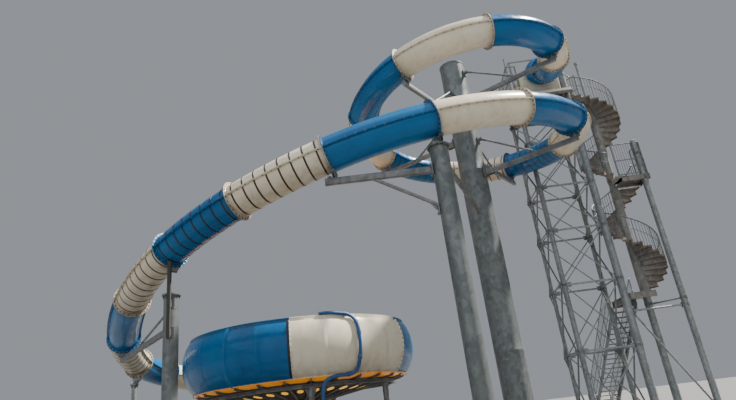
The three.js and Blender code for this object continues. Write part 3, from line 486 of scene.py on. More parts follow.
class Nodes:
    """Small helper that places shader nodes and links them."""

    def __init__(self, name: str) -> None:
        """A new node material with an empty tree.

        Args:
            name: name of the material.
        """
        self.material = bpy.data.materials.new(name)
        self.material.use_nodes = True
        self.tree = self.material.node_tree
        self.tree.nodes.clear()
        self.out = self.tree.nodes.new("ShaderNodeOutputMaterial")
        self.place = self.tree.nodes.new("ShaderNodeTexCoord")

    def node(self, kind: str, **values: Socket | float | tuple) -> bpy.types.ShaderNode:
        """Places a node and sets or links its inputs.

        Args:
            kind: end of the node's type name.
            values: inputs by name, blanks written as underscores.

        Returns:
            The node.
        """
        node = self.tree.nodes.new(f"ShaderNode{kind}")
        for key, value in values.items():
            self.fill(node.inputs[key.replace("_", " ")], value)
        return node

    def fill(self, target: Socket, value: Socket | float | tuple) -> None:
        """Links a socket to an input, or sets the input to a constant."""
        if isinstance(value, Socket):
            self.tree.links.new(value, target)
        else:
            target.default_value = value

    def noise(self, scale: float, detail: float = 3.0, stretch: Colour = (1, 1, 1),
              rough: float = 0.55) -> Socket:
        """Noise of the object's coordinates.

        Args:
            scale: cells to a metre.
            detail: octaves.
            stretch: scale along each axis.
            rough: share of the finer octaves.

        Returns:
            The noise's value, about 0.5 on average.
        """
        spot = self.node("Mapping", Scale=stretch, Vector=self.place.outputs["Object"])
        return self.node("TexNoise", Scale=scale, Detail=detail, Roughness=rough,
                         Vector=spot.outputs["Vector"]).outputs["Fac"]

    def cells(self, scale: float, stretch: Colour) -> Socket:
        """Flat-coloured cells of the object's coordinates.

        Args:
            scale: cells to a metre.
            stretch: scale along each axis.

        Returns:
            The random value of each cell.
        """
        spot = self.node("Mapping", Scale=stretch, Vector=self.place.outputs["Object"])
        cell = self.node("TexVoronoi", Scale=scale, Vector=spot.outputs["Vector"])
        return self.node("SeparateColor", Color=cell.outputs["Color"]).outputs["Red"]

    def ramp(self, value: Socket, low: float, high: float, to_low: float = 0.0,
             to_high: float = 1.0) -> Socket:
        """Linear map of a value from one range to another, held at its ends."""
        return self.node("MapRange", Value=value, From_Min=low, From_Max=high, To_Min=to_low,
                         To_Max=to_high).outputs["Result"]

    def math(self, kind: str, a: Socket, b: Socket | float) -> Socket:
        """Arithmetic on two values.

        Args:
            kind: name of the operation.
            a: first value.
            b: second value, a socket or a constant.

        Returns:
            The result.
        """
        node = self.tree.nodes.new("ShaderNodeMath")
        node.operation = kind
        self.fill(node.inputs[0], a)
        self.fill(node.inputs[1], b)
        return node.outputs["Value"]

    def times(self, a: Socket, b: Socket | float) -> Socket:
        """Product of two values."""
        return self.math("MULTIPLY", a, b)

    def plus(self, a: Socket, b: Socket | float) -> Socket:
        """Sum of two values."""
        return self.math("ADD", a, b)

    def mix(self, share: Socket, a: Socket | Colour, b: Socket | Colour) -> Socket:
        """Mixes two colours by a share.

        Args:
            share: 0 gives the first colour, 1 the second.
            a: first colour, a socket or a constant.
            b: second colour.

        Returns:
            The mixed colour.
        """
        node = self.node("Mix", Factor=share)
        node.data_type = "RGBA"
        for key, value in (("A", a), ("B", b)):
            target = [s for s in node.inputs if s.name == key and s.type == "RGBA"][0]
            self.fill(target, (*value, 1.0) if isinstance(value, tuple) else value)
        return [s for s in node.outputs if s.type == "RGBA"][0]

    def grime_and_shade(self) -> Socket:
        """The mesh's own share of dirt and painted shade.

        Returns:
            Its value, 0 to 1.
        """
        node = self.tree.nodes.new("ShaderNodeAttribute")
        node.attribute_name = "grime_and_shade"
        return node.outputs["Fac"]

    def bump(self, height: Socket, strength: float, distance: float) -> Socket:
        """Surface normal disturbed by a height."""
        return self.node("Bump", Height=height, Strength=strength,
                         Distance=distance).outputs["Normal"]

    def surface(self, colour: Socket, rough: Socket, normal: Socket | None = None,
                painted_glow: float = 0.0, **values: float) -> Material:
        """Ends the tree in a Principled shader.

        Args:
            colour: base colour.
            rough: roughness.
            normal: disturbed normal, if any.
            painted_glow: share of the colour that shines by itself, as painted light.
            values: constants of the shader by name, blanks written as underscores.

        Returns:
            The material.
        """
        shader = self.node("BsdfPrincipled", Base_Color=colour, Roughness=rough, **values)
        if painted_glow > 0:
            self.fill(shader.inputs["Emission Color"], colour)
            self.fill(shader.inputs["Emission Strength"], painted_glow)
        if normal is not None:
            self.fill(shader.inputs["Normal"], normal)
            self.fill(shader.inputs["Coat Normal"], normal)
        self.fill(self.out.inputs["Surface"], shader.outputs["BSDF"])
        return self.material


@dataclass(frozen=True)
class GelCoat:
    """Glossy gel-coated glass fibre: patchy fading, run-down streaks, flange dirt, painted shade.
    """

    name: str
    colour: Colour
    faded: Colour
    dirt_and_shade: Colour = (0.16, 0.12, 0.075)
    dirt_and_shade_share: float = 0.5
    painted_glow: float = 0.0

    def build(self) -> Material:
        """The node material: the gel's colour faded in patches, then streaks, dirt and painted
        shade.

        Returns:
            The material.
        """
        n = Nodes(self.name)
        patch = n.ramp(n.noise(0.9, 4, (1, 1, 0.6)), 0.35, 0.7)
        colour = n.mix(patch, self.colour, self.faded)
        streak = n.ramp(n.noise(5.0, 4, (1, 1, 0.12)), 0.52, 0.78, 0.0, 0.35 * self.dirt_and_shade_share)
        colour = n.mix(streak, colour, self.dirt_and_shade)
        speckle = n.ramp(n.noise(5.0, 5), 0.3, 0.7, 0.55, 1.0)
        # The mesh's share darkens towards the dirt colour: real dirt, and painted shade on
        # undersides and blue collars.
        grime_and_shade = n.times(n.grime_and_shade(), n.times(speckle, self.dirt_and_shade_share * 1.3))
        colour = n.mix(grime_and_shade, colour, self.dirt_and_shade)
        rough = n.plus(n.ramp(n.noise(3.5, 4), 0.3, 0.7, 0.16, 0.34), n.times(grime_and_shade, 0.4))
        ripple = n.plus(n.noise(1.6, 2), n.times(n.noise(60, 2), 0.02))
        return n.surface(colour, rough, n.bump(ripple, 0.1, 0.05), self.painted_glow, Coat_Weight=0.2,
                         Coat_Roughness=0.04, Specular_IOR_Level=0.16)


@dataclass(frozen=True)
class Zinc:
    """Hot-dip galvanised steel: spangle cells, dull patches, run marks and some rust."""

    name: str
    light: Colour
    dark: Colour
    rust_share: float = 0.15
    metallic: float = 0.45
    rough: float = 0.5
    cell: float = 9.0

    def build(self) -> Material:
        """The node material: spangle, cloud and fine noise mix the tones under runs and rust.

        Returns:
            The material.
        """
        n = Nodes(self.name)
        spangle = n.times(n.cells(self.cell, (1, 1, 0.7)), 0.45)
        cloud = n.times(n.ramp(n.noise(1.7, 5, (1, 1, 0.5)), 0.3, 0.7), 0.4)
        fine = n.times(n.noise(45, 3), 0.3)
        share = n.ramp(n.plus(n.plus(spangle, cloud), fine), 0.15, 0.95)
        colour = n.mix(share, self.dark, self.light)
        run = n.ramp(n.noise(6.0, 5, (1, 1, 0.1)), 0.58, 0.8, 0.0, 0.45)
        colour = n.mix(run, colour, tuple(0.62 * c for c in self.dark))
        rust = n.ramp(n.noise(3.2, 6, rough=0.7), 0.66, 0.78, 0.0, self.rust_share)
        colour = n.mix(rust, colour, (0.18, 0.07, 0.025))
        stain = n.times(n.grime_and_shade(), n.ramp(n.noise(12, 4), 0.3, 0.7))
        colour = n.mix(stain, colour, (0.15, 0.075, 0.035))
        rough = n.ramp(share, 0, 1, self.rough + 0.15, self.rough - 0.08)
        normal = n.bump(n.plus(n.noise(30, 4), spangle), 0.25, 0.004)
        return n.surface(colour, rough, normal, Metallic=self.metallic)


@dataclass(frozen=True)
class Plain:
    """Satin surface with fine mottling, for small fittings."""

    name: str
    colour: Colour
    other: Colour
    rough: float = 0.5
    metallic: float = 0.0
    painted_glow: float = 0.0
    scale: float = 18.0

    def build(self) -> Material:
        """The node material: two tones mixed by one noise.

        Returns:
            The material.
        """
        n = Nodes(self.name)
        share = n.ramp(n.noise(self.scale, 5), 0.3, 0.7)
        colour = n.mix(share, self.colour, self.other)
        rough = n.ramp(share, 0, 1, self.rough - 0.08, self.rough + 0.12)
        normal = n.bump(n.noise(self.scale * 4, 3), 0.2, 0.003)
        return n.surface(colour, rough, normal, self.painted_glow, Metallic=self.metallic)


@dataclass(frozen=True)
class Finishes:
    """Every material of the slide, by the part it is on."""

    blue: Material
    cream: Material
    dark_ring_and_shadow: Material
    red_ring: Material
    orange: Material
    underfloor_shade: Material
    lens: Material
    zinc: Material
    mottled_zinc: Material
    dark_zinc: Material
    bolt: Material
    rusty_bolt: Material
    tread: Material
    rust_steel: Material
    pipe: Material
    rubber: Material

    @staticmethod
    def make() -> Finishes:
        """Builds them all."""
        kinds = dict(
            # The blue's dark navy dirt colour also colours its painted shade.
            blue=GelCoat("blue gel coat", (0.0, 0.095, 0.265), (0.0, 0.135, 0.345),
                         dirt_and_shade=(0.01, 0.045, 0.09)),
            cream=GelCoat("cream gel coat", (0.70, 0.63, 0.48), (0.78, 0.72, 0.59),
                          dirt_and_shade_share=0.75),
            # Dark rings of the blue tubes; the same colour paints a shadow strip on the bowl's blue
            # wall.
            dark_ring_and_shadow=Plain("dark rings and painted shadow", (0.003, 0.004, 0.008), (0.007, 0.007, 0.012), 0.4),
            red_ring=Plain("dark red rings", (0.045, 0.006, 0.006), (0.02, 0.005, 0.005), 0.4),
            # The orange floor's glow is painted light, for sunlight through the panels.
            orange=GelCoat("orange floor panels", (0.80, 0.26, 0.008), (0.86, 0.34, 0.02),
                           dirt_and_shade=(0.25, 0.07, 0.01), painted_glow=0.3),
            # The floor's underside is painted dark brown as shade.
            underfloor_shade=Plain("painted shade under the floor", (0.06, 0.045, 0.022), (0.10, 0.075, 0.035),
                             0.7),
            # The amber lenses under the floor glow as painted light, for light shining through
            # them.
            lens=Plain("amber discs with painted glow", (0.9, 0.42, 0.03), (0.95, 0.52, 0.06), 0.35,
                       painted_glow=0.75),
            zinc=Zinc("galvanised columns", (0.17, 0.188, 0.188), (0.08, 0.094, 0.095)),
            mottled_zinc=Zinc("mottled galvanised tower", (0.27, 0.29, 0.292),
                              (0.13, 0.145, 0.15), cell=16),
            dark_zinc=Zinc("weathered dark steel", (0.2, 0.205, 0.21), (0.09, 0.095, 0.1), 0.3,
                           metallic=0.35),
            bolt=Plain("steel bolts", (0.2, 0.2, 0.2), (0.34, 0.34, 0.33), 0.45, 0.7),
            rusty_bolt=Plain("rusted bolts", (0.06, 0.03, 0.016), (0.13, 0.065, 0.03), 0.7, 0.3),
            tread=Zinc("stained stair plates", (0.3, 0.3, 0.285), (0.13, 0.13, 0.12), 0.4,
                       metallic=0.3, rough=0.6),
            rust_steel=Zinc("stained grey brown steel", (0.22, 0.21, 0.19),
                            (0.09, 0.086, 0.078), 0.4, metallic=0.2, rough=0.62),
            pipe=Plain("blue water pipe", (0.006, 0.055, 0.18), (0.01, 0.08, 0.24), 0.42),
            rubber=Plain("black paint and rubber", (0.025, 0.025, 0.022),
                         (0.045, 0.044, 0.038), 0.8),
        )
        return Finishes(**{key: kind.build() for key, kind in kinds.items()})


@dataclass(frozen=True)
class Leg:
    """One piece of the slide's course: plan length, clockwise turn and slopes."""

    length: float
    turn: float
    slope_in: float
    slope_out: float
    gel: Gel
    ringed: bool = False


@dataclass(frozen=True)
class Start:
    """State at the start of a piece: a point of the centreline and the heading in plan."""

    x: float
    y: float
    z: float
    heading: float


Piece = tuple[Leg, Start]


@dataclass
class Course:
    """The slide's centreline as a chain of pieces, each turning and falling evenly."""

    helix_radius: float = 3.79
    helix_top: float = math.radians(-14)
    helix_top_z: float = 13.338
    bell: Leg = Leg(1.6, 2, 0.35, 0.72, Gel.BLUE)
    entry: Leg = Leg(2.17, 3, 0.72, 0.13, Gel.BLUE)
    bowl_entry: Leg = Leg(4.3, 30.5, 0.06, 0.02, Gel.CREAM)
    first_joint: int = 3
    legs: list[Piece] = field(default_factory=list)

    def __post_init__(self) -> None:
        """Chains the pieces from the helix's top, backwards to the tub and on to the bowl."""
        step = self.helix_radius * math.pi / 4
        cream, blue = Gel.CREAM, Gel.BLUE
        run = [Leg(step / 2, 22.5, 0.13, 0.13, cream)]
        for k in range(8):
            out = 0.15 if k == 7 else 0.13
            run.append(Leg(step, 45, 0.13, out, (blue, cream)[k % 2], k in (4, 5, 6)))
        slope = 0.15
        for length, turn, out, gel, rings in (
            (3.03, 22.2, 0.195, blue, False), (2.99, 21.7, 0.225, cream, False),
            (2.95, 18.4, 0.248, blue, False), (2.77, 13.4, 0.256, cream, True),
            (2.76, 16.2, 0.256, blue, True), (3.15, 17.1, 0.252, cream, True),
            (2.96, 10.7, 0.236, blue, False), (2.73, 22.2, 0.218, cream, True),
            (2.08, 37.1, 0.2, blue, False), (2.91, 37.4, 0.06, cream, False),
        ):
            run.append(Leg(length, turn, slope, out, gel, rings))
            slope = out
        a = self.helix_top
        top = Start(self.helix_radius * math.cos(a), self.helix_radius * math.sin(a),
                    self.helix_top_z, a - math.pi / 2)
        start = self.before(self.before(top, self.entry), self.bell)
        for leg in [self.bell, self.entry, *run, self.bowl_entry]:
            self.legs.append((leg, start))
            point, heading, _ = self.along(leg, start, np.array([leg.length]))
            start = Start(*point[0], float(heading[0]))

    @staticmethod
    def along(leg: Leg, start: Start, s: Array) -> tuple[Array, Array, Array]:
        """Centreline at plan distances s: an arc in plan whose slope changes evenly.

        Args:
            leg: the piece.
            start: its start state.
            s: plan distances.

        Returns:
            Points (n, 3), headings (n) and slopes (n).
        """
        bend = -math.radians(leg.turn) / leg.length
        heading = start.heading + bend * s
        x = start.x + (np.sin(heading) - math.sin(start.heading)) / bend
        y = start.y - (np.cos(heading) - math.cos(start.heading)) / bend
        slope = leg.slope_in + (leg.slope_out - leg.slope_in) * s / leg.length
        z = start.z - (leg.slope_in + slope) / 2 * s
        return np.stack([x, y, z], axis=1), heading, slope

    def before(self, end: Start, leg: Leg) -> Start:
        """Start state of a piece whose end state is known.

        Args:
            end: its end state.
            leg: the piece.

        Returns:
            The start state.
        """
        point, heading, _ = self.along(leg, end, np.array([-leg.length]))
        fall = (leg.slope_in + leg.slope_out) / 2 * leg.length
        return Start(point[0, 0], point[0, 1], end.z + fall, float(heading[0]))

    def frames(self, piece: Piece, s: Array) -> tuple[Array, Array, Array, Array]:
        """Centreline points and directions of a piece.

        Args:
            piece: the piece and its start state.
            s: plan distances.

        Returns:
            Points and the forward, side and up directions, each of shape (n, 3).
        """
        point, heading, slope = self.along(*piece, s)
        forward = unit(np.stack([np.cos(heading), np.sin(heading), -slope], axis=1))
        side = np.stack([np.sin(heading), -np.cos(heading), np.zeros_like(heading)], axis=1)
        return point, forward, side, np.cross(side, forward)

    def joint(self, k: int) -> Start:
        """Start state at joint k, joint 0 being where the helix's first full eighth starts."""
        return self.legs[k + self.first_joint][1]


@dataclass
class SlideTube:
    """The closed tube: one piece of two bolted half shells for each piece of the course."""

    course: Course
    finishes: Finishes
    radius: float = 0.5
    wall: float = 0.012
    gap: float = 0.001
    flange_radius: float = 0.594
    flange_thick: float = 0.02
    ridge_height: float = 0.072
    ridge_thick: float = 0.015
    ring_pitch: float = 0.335
    ring_width: float = 0.052
    ring_height: float = 0.004
    sides: int = 56
    ring_bolts: int = 26
    ridge_pitch: float = 0.24
    ridge_dirt: float = 0.45
    bolt_off: float = 0.04
    mouth: float = 0.62
    bell_span: Span = (0.42, 0.9)
    bell_ridge: float = 0.5
    stations: int = 30

    def surface(self, piece: Piece, s: Array, radius: Value) -> Array:
        """Rings of points round the centreline.

        point = centre(s) + side(s) radius cos a + up(s) radius sin a

        Args:
            piece: the piece and its start state.
            s: plan distances.
            radius: radius at each of them, or one for all.

        Returns:
            Points of shape (stations, sides, 3).
        """
        point, _, side, up = self.course.frames(piece, s)
        a = round_angles(self.sides)[None, :, None]
        reach = np.broadcast_to(radius, s.shape)[:, None, None]
        return point[:, None] + (side[:, None] * np.cos(a) + up[:, None] * np.sin(a)) * reach

    def shell(self, bag: MeshBag, piece: Piece, profile: Array, grime_and_shade: Array) -> None:
        """Carries a closed profile round the centreline, darker below: dirt and painted shade.

        dirt and shade = grime_and_shade + share x how far the point faces down

        Args:
            bag: mesh to add to.
            piece: the piece and its start state.
            profile: (radius, plan distance) points.
            grime_and_shade: dirt share of each of them, before the darker underside.
        """
        # Painted shade with some dirt: the side of the tube that faces down is darkened, more on
        # ringed pieces.
        below = 0.7 if piece[0].ringed else 0.3
        low = np.clip(-np.sin(round_angles(self.sides)), 0, 1)[None] * below
        grid = self.surface(piece, profile[:, 1], profile[:, 0])
        bag.sheet(grid, True, grime_and_shade=np.clip(grime_and_shade[:, None] + low, 0, 1))

    def ridge(self, bag: MeshBag, piece: Piece, low: float, high: float, finish: int,
              widened: bool = False) -> None:
        """Side flanges where the two half shells meet: two lips on each side of the tube.

        Args:
            bag: mesh to add to.
            piece: the piece and its start state.
            low: plan distance where the lips start.
            high: plan distance where they end.
            finish: index of the material.
            widened: they follow the bell.
        """
        s = np.linspace(low, high, max(6, int((high - low) / 0.1)))
        point, _, side, up = self.course.frames(piece, s)
        inner = self.bell_radius(s) if widened else np.full(len(s), self.radius)
        root = -0.006
        for way in (1, -1):
            for lip in (1, -1):
                near, far = 0.0012 * lip, self.ridge_thick * lip
                corners = [(root, near), (self.ridge_height, near), (self.ridge_height, far),
                           (root, 1.5 * far)]
                grid = np.stack([point + side * (way * (inner + out))[:, None] + up * rise
                                 for out, rise in corners], axis=1)
                bag.sheet(grid, False, finish, np.full(grid.shape[:2], self.ridge_dirt))

    def ridge_bolts(self, bag: MeshBag, piece: Piece, low: float, high: float,
                    finish: int) -> None:
        """Bolts through the side flanges, a head above and a nut below.

        Args:
            bag: mesh to add to.
            piece: the piece and its start state.
            low: plan distance where the flanges start.
            high: plan distance where they end.
            finish: index of the material.
        """
        s = np.linspace(low + 0.1, high - 0.1, max(2, int((high - low) / self.ridge_pitch)))
        point, _, side, up = self.course.frames(piece, s)
        for way in (1, -1):
            for lip in (1, -1):
                out = side * way * (self.radius + self.bolt_off)
                place = point + out + up * lip * self.ridge_thick
                bag.stamp(BOLT, place, up * lip, finish)

    def ring_bolt_row(self, bag: MeshBag, piece: Piece, at: float, way: int, finish: int) -> None:
        """Bolt heads round a ring flange.

        Args:
            bag: mesh to add to.
            piece: the piece and its start state.
            at: plan distance of the flange's face.
            way: 1 where the face looks down the slide, else -1.
            finish: index of the material.
        """
        a = (round_angles(self.ring_bolts) + math.pi / self.ring_bolts)[:, None]
        middle = (self.radius + self.flange_radius) / 2 + 0.006
        point, forward, side, up = self.course.frames(piece, np.array([at]))
        ring = side * np.cos(a) + up * np.sin(a)
        bag.stamp(BOLT, point + ring * middle, forward[0] * way, finish)

    def rings(self, bag: MeshBag, piece: Piece, finish: int) -> None:
        """Raised rings at an even pitch round a piece.

        Args:
            bag: mesh to add to.
            piece: the piece and its start state.
            finish: index of the material.
        """
        length = piece[0].length
        count = round(length / self.ring_pitch)
        half, rise = self.ring_width / 2, self.ring_height
        shape = np.array([(-rise, -half), (rise, -0.88 * half), (rise, 0.88 * half), (-rise, half)])
        for middle in (np.arange(count) + 0.5) * length / count:
            grid = self.surface(piece, middle + shape[:, 1], self.radius + shape[:, 0])
            bag.sheet(grid, True, finish)

    def bell_radius(self, s: Array) -> Array:
        """Outer radius of the bell: from the mouth's to the tube's, eased as t t (3 - 2 t).

        Args:
            s: plan distances.

        Returns:
            The radius at each of them.
        """
        flare, narrow = self.bell_span
        t = np.clip((s - flare) / (narrow - flare), 0, 1)
        return self.mouth + (self.radius - self.mouth) * t * t * (3 - 2 * t)

    def bell_body(self, name: str) -> bpy.types.Object:
        """Filled bell, a hair wider than its shell.

        Args:
            name: name of the object.

        Returns:
            The object.
        """
        piece = self.course.legs[0]
        s = np.linspace(-0.02, piece[0].length - 0.1, self.stations)
        bag = MeshBag()
        bag.sheet(self.surface(piece, s, self.bell_radius(s) + 0.0015))
        return bag.build(name, [])

    def straight_profile(self, length: float) -> tuple[Array, Array]:
        """Closed profile of a piece with a rounded ring flange at each end.

        dirt share = 0.75 exp(-distance to the nearer end / 0.09)

        Args:
            length: plan length of the piece.

        Returns:
            Points (radius, plan distance) and the dirt share of each.
        """
        inner, outer, rim = self.radius - self.wall, self.radius, self.flange_radius
        thick, low, high = self.flange_thick, self.gap, length - self.gap
        stations = np.linspace(low + 0.1, high - 0.1, max(8, int(length / 0.085)))
        head = np.array([
            (inner, low), (rim - 0.004, low), (rim, low + 0.005), (rim, low + thick - 0.005),
            (rim - 0.005, low + thick), (outer + 0.022, low + thick),
            (outer + 0.008, low + thick + 0.008), (outer, low + thick + 0.03)])
        tail = head[::-1] * [1, -1] + [0, low + high]
        out = np.column_stack([np.full(len(stations), outer), stations])
        profile = np.concatenate([head, out, tail, out[::-1] - [self.wall, 0]])
        near = np.minimum(profile[:, 1] - low, high - profile[:, 1])
        return profile, 0.75 * np.exp(-near / 0.09)

    def build_piece(self, number: int, node: str) -> None:
        """One piece of plain tube with its flanges and bolts, in place of its solid.

        Args:
            number: its number on the course.
            node: solid that it stands for.
        """
        piece = self.course.legs[number]
        leg, made = piece[0], self.finishes
        low, high = self.flange_thick, leg.length - self.flange_thick
        bag = MeshBag()
        self.shell(bag, piece, *self.straight_profile(leg.length))
        self.ridge(bag, piece, low, high, 1)
        self.ridge_bolts(bag, piece, low, high, 2)
        self.ring_bolt_row(bag, piece, low, 1, 2)
        self.ring_bolt_row(bag, piece, high, -1, 2)
        if leg.ringed:
            self.rings(bag, piece, 3)
        layers = [made.blue, made.blue, made.bolt, made.dark_ring_and_shadow]
        if leg.gel is Gel.CREAM:
            layers = [made.cream, made.cream, made.rusty_bolt, made.red_ring]
        bag.hand_in(f"{node}_shell", layers, leg.gel.value, node)

    def build_bell(self) -> None:
        """First piece, which flares to the bell in the tub's front."""
        piece = self.course.legs[0]
        end = piece[0].length - self.gap
        s = np.linspace(0.0, end, self.stations)
        outer = self.bell_radius(s)
        face = end - self.flange_thick
        keep = s < face - 0.02
        tail = [(self.radius + 0.02, face), (self.flange_radius, face),
                (self.flange_radius, end), (self.radius - self.wall, end)]
        out, back = np.stack([outer, s], 1), np.stack([outer - self.wall, s], 1)
        profile = np.concatenate([out[keep], tail, back[keep][::-1]])
        bag = MeshBag()
        self.shell(bag, piece, profile, 0.4 * np.exp(-(end - profile[:, 1]) / 0.1))
        self.ridge(bag, piece, self.bell_ridge, face, 0, True)
        self.ring_bolt_row(bag, piece, face, -1, 1)
        bag.hand_in("entry_bell_shell", [self.finishes.blue, self.finishes.bolt], "blue",
                    "entry_bell")

    def build(self) -> None:
        """Every piece from the tub to the last joint before the bowl."""
        self.build_bell()
        self.build_piece(1, "entry_tube")
        for number in range(2, len(self.course.legs) - 1):
            self.build_piece(number, f"tube_section_{number - 1:02d}")


@dataclass
class Bowl:
    """The open bowl: bulged wall in four coloured stretches, floor, frame, legs and pipe."""

    course: Course
    finishes: Finishes
    tube: SlideTube
    x: float = -7.408
    y: float = 4.05
    mid_radius: float = 3.7
    bulge: float = 0.82
    half_height: float = 1.18
    mid_z: float = 4.006
    low_angle: float = -63.0
    high_angle: float = 51.0
    shoulder: float = 40.0
    wall: float = 0.02
    seam: float = -85.5
    seam_pitch: float = 15.0
    edge: float = 0.035
    nose: float = 0.7
    bays: int = 28
    drain: float = 0.75
    drop: float = 0.56
    skin: float = 0.02
    lip: float = 0.09
    legs: int = 7
    leg_radius: float = 0.1
    ring_radius: float = 3.6
    rib_height: float = 0.09
    pipe_azimuth: float = -55.5
    pipe_off: float = 0.085
    pipe_radius: float = 0.06
    couplings: tuple[float, ...] = (0.9, 1.75, 2.6, 3.35, 4.2, 5.2, 6.6)
    clips: Span = (30.0, -25.0)
    first_inner_seam: float = -175.5

    @property
    def rim(self) -> Span:
        """Radius and height of the wall's lower edge."""
        return self.section(self.low_angle)

    def section(self, angle: Value, off: Value = 0.0) -> tuple[Value, Value]:
        """Wall section: radius = middle + bulge cos a, height = middle + half height sin a.

        Args:
            angle: angle a on the section's oval, in degrees.
            off: distance outside the wall.

        Returns:
            Radius and height.
        """
        a = np.radians(angle)
        return (self.mid_radius + (self.bulge + off) * np.cos(a),
                self.mid_z + (self.half_height + off) * np.sin(a))

    def at(self, radius: Value, degrees: Value, z: Value) -> Array:
        """Point about the bowl's axis.

        Args:
            radius: distance from the axis.
            degrees: azimuth.
            z: height.

        Returns:
            The point or points, the last axis being (x, y, z).
        """
        a = np.radians(degrees)
        x, y = self.x + radius * np.cos(a), self.y + radius * np.sin(a)
        return np.stack(np.broadcast_arrays(x, y, z), axis=-1)

    def on_wall(self, degrees: Value, angle: Value, off: Value) -> Array:
        """Point off the wall at an azimuth and an angle on the section, both in degrees."""
        r, z = self.section(angle, off)
        return self.at(r, degrees, z)

    def wall_profile(self) -> Array:
        """Closed wall section: outer curve, upright collar, inner curve and lower lip.

        Returns:
            Points (radius, height).
        """
        a = np.linspace(self.low_angle, self.shoulder, 34)
        outer = np.stack(self.section(a), axis=1)
        inner = np.stack(self.section(a[::-1], -self.wall), axis=1)
        top = self.section(self.high_angle)[1]
        r, z = outer[-1]
        collar = [(r - 0.045, z + 0.012), (r - 0.06, z + 0.03), (r - 0.065, top - 0.01),
                  (r - 0.075, top), (r - 0.115, top), (r - 0.12, top - 0.015), (r - 0.1, z + 0.01)]
        lip = outer[0] + [(-self.lip, 0.02), (-self.lip, -0.002), (0.055, -0.002), (0.06, 0.004),
                          (0.06, 0.03), (0.05, 0.036), (0.018, 0.036)]
        return np.concatenate([outer[1:], collar, inner[:-1], lip])

    def wall_piece(self, name: str, gel: Gel, start: float, span: float) -> None:
        """One stretch of the wall with its end flanges, in place of its solid.

        Args:
            name: node of the stretch.
            gel: its colour.
            start: azimuth of its first edge in degrees.
            span: degrees to its other edge.
        """
        profile, made = self.wall_profile(), self.finishes
        first, last = start + self.edge, start + span - self.edge
        stations = set(np.linspace(first, last, int(span) + 1))
        seams = self.first_inner_seam + self.seam_pitch * np.arange(30)
        for seam in seams[(seams > start + 1) & (seams < start + span - 1)]:
            stations |= set(seam + np.array([-0.9, -0.75, -0.5, -0.4, 0.4, 0.5]))
        az = np.array(sorted(stations))
        away = az - seams[:, None]
        raised = (0.006 * ((away > -0.76) & (away < -0.49))
                  + 0.004 * (np.abs(away) < 0.41)).sum(axis=0)
        grid = self.at(profile[:, 0], az[:, None], profile[:, 1])
        outward = np.stack([np.cos(np.radians(az)), np.sin(np.radians(az)), 0 * az], axis=1)
        collar = 33
        grid[:, 2:collar - 1] += (outward * raised[:, None])[:, None]
        # Darker towards the wall's lower rim.
        height = (profile[:, 1] - self.rim[1]) / (2 * self.half_height)
        dirt_and_shade = np.clip(0.6 * np.exp(-np.abs(height) / 0.16) + 0.05, 0, 1)
        # Painted shade: the upright collar of a blue stretch is darkened fully; a cream collar gets
        # 0.15.
        dirt_and_shade[collar:collar + 7] = 1.0 if gel is Gel.BLUE else 0.15
        bag = MeshBag()
        bag.sheet(grid, grime_and_shade=np.tile(dirt_and_shade, (len(az), 1)))
        self.end_flange(bag, first, 1)
        self.end_flange(bag, last, -1)
        if name == "bowl_wall_front_left":
            self.rib(bag, -115.5, 0.075, 0.055, 0)
            # A thin dark strip beside the seam is painted shadow of the blue flange's end.
            self.rib(bag, self.seam - 0.65, 0.04, 0.006, 2)
        spots = self.at(self.rim[0] + 0.04, np.arange(start + 1.5, start + span - 1, 3.0),
                        self.rim[1] + 0.034)
        bag.stamp(BOLT, spots, UP)
        coats = [made.blue, made.bolt] if gel is Gel.BLUE else [made.cream, made.rusty_bolt]
        piece = bag.build(f"{name}_shell", [*coats, made.dark_ring_and_shadow])
        if name.endswith("_left"):
            cut(piece, self.entry_body(self.tube.radius + 0.0005, "entry_cutter"))
        place_piece(piece, gel.value, name)

    def end_flange(self, bag: MeshBag, degrees: float, way: int) -> None:
        """Upright bolting flange at the end of a stretch, standing out of the wall.

        Args:
            bag: mesh to add to.
            degrees: azimuth of the end.
            way: 1 at the first end of the stretch, else -1.
        """
        a = np.linspace(self.low_angle + 2, 42, 26)
        shift = np.degrees(0.012 / 4.4) * way
        bag.sheet(np.stack([self.on_wall(degrees + turn, a, off) for turn, off in (
            (0, -0.008), (0, 0.05), (shift, 0.05), (1.6 * shift, -0.008))], axis=1))
        r = np.radians(degrees)
        bag.stamp(BOLT, self.on_wall(degrees + shift, np.linspace(-52, 36, 12), 0.027),
                  way * np.array([-math.sin(r), math.cos(r), 0.0]))

    def rib(self, bag: MeshBag, degrees: float, half_width: float, height: float,
            finish: int) -> None:
        """Raised half-round rib over a joint inside a stretch; also a thin strip of painted shadow.

        Args:
            bag: mesh to add to.
            degrees: azimuth of its middle.
            half_width: half its width.
            height: how far it stands out.
            finish: index of the material.
        """
        a = np.linspace(self.low_angle + 3, 44, 30)
        half = np.degrees(half_width / 4.45)
        across = np.linspace(-1, 1, 9)
        rise = 0.001 + height * np.sqrt(np.clip(1 - across ** 2, 0, 1))
        rows = [*zip(across, rise), (0.9, -0.01), (-0.9, -0.01)]
        bag.sheet(np.stack([self.on_wall(degrees + half * x, a, h) for x, h in rows], axis=1),
                  False, finish)

    def nose_profile(self, low: float, count: int) -> tuple[Array, Array]:
        """Stations of the last piece, whose end is rounded: share = root of (1 - t t).

        Args:
            low: first plan distance.
            count: stations before the nose.

        Returns:
            Plan distances, and the share of the full radius at each.
        """
        root = self.course.legs[-1][0].length - self.nose
        tip = root + self.nose * np.sin(np.linspace(0.1, 0.497, 10) * math.pi)
        s = np.concatenate([np.linspace(low, root, count), tip])
        t = np.clip((s - root) / self.nose, 0, 1)
        return s, np.sqrt(np.clip(1 - t ** 2, 0.0004, 1))

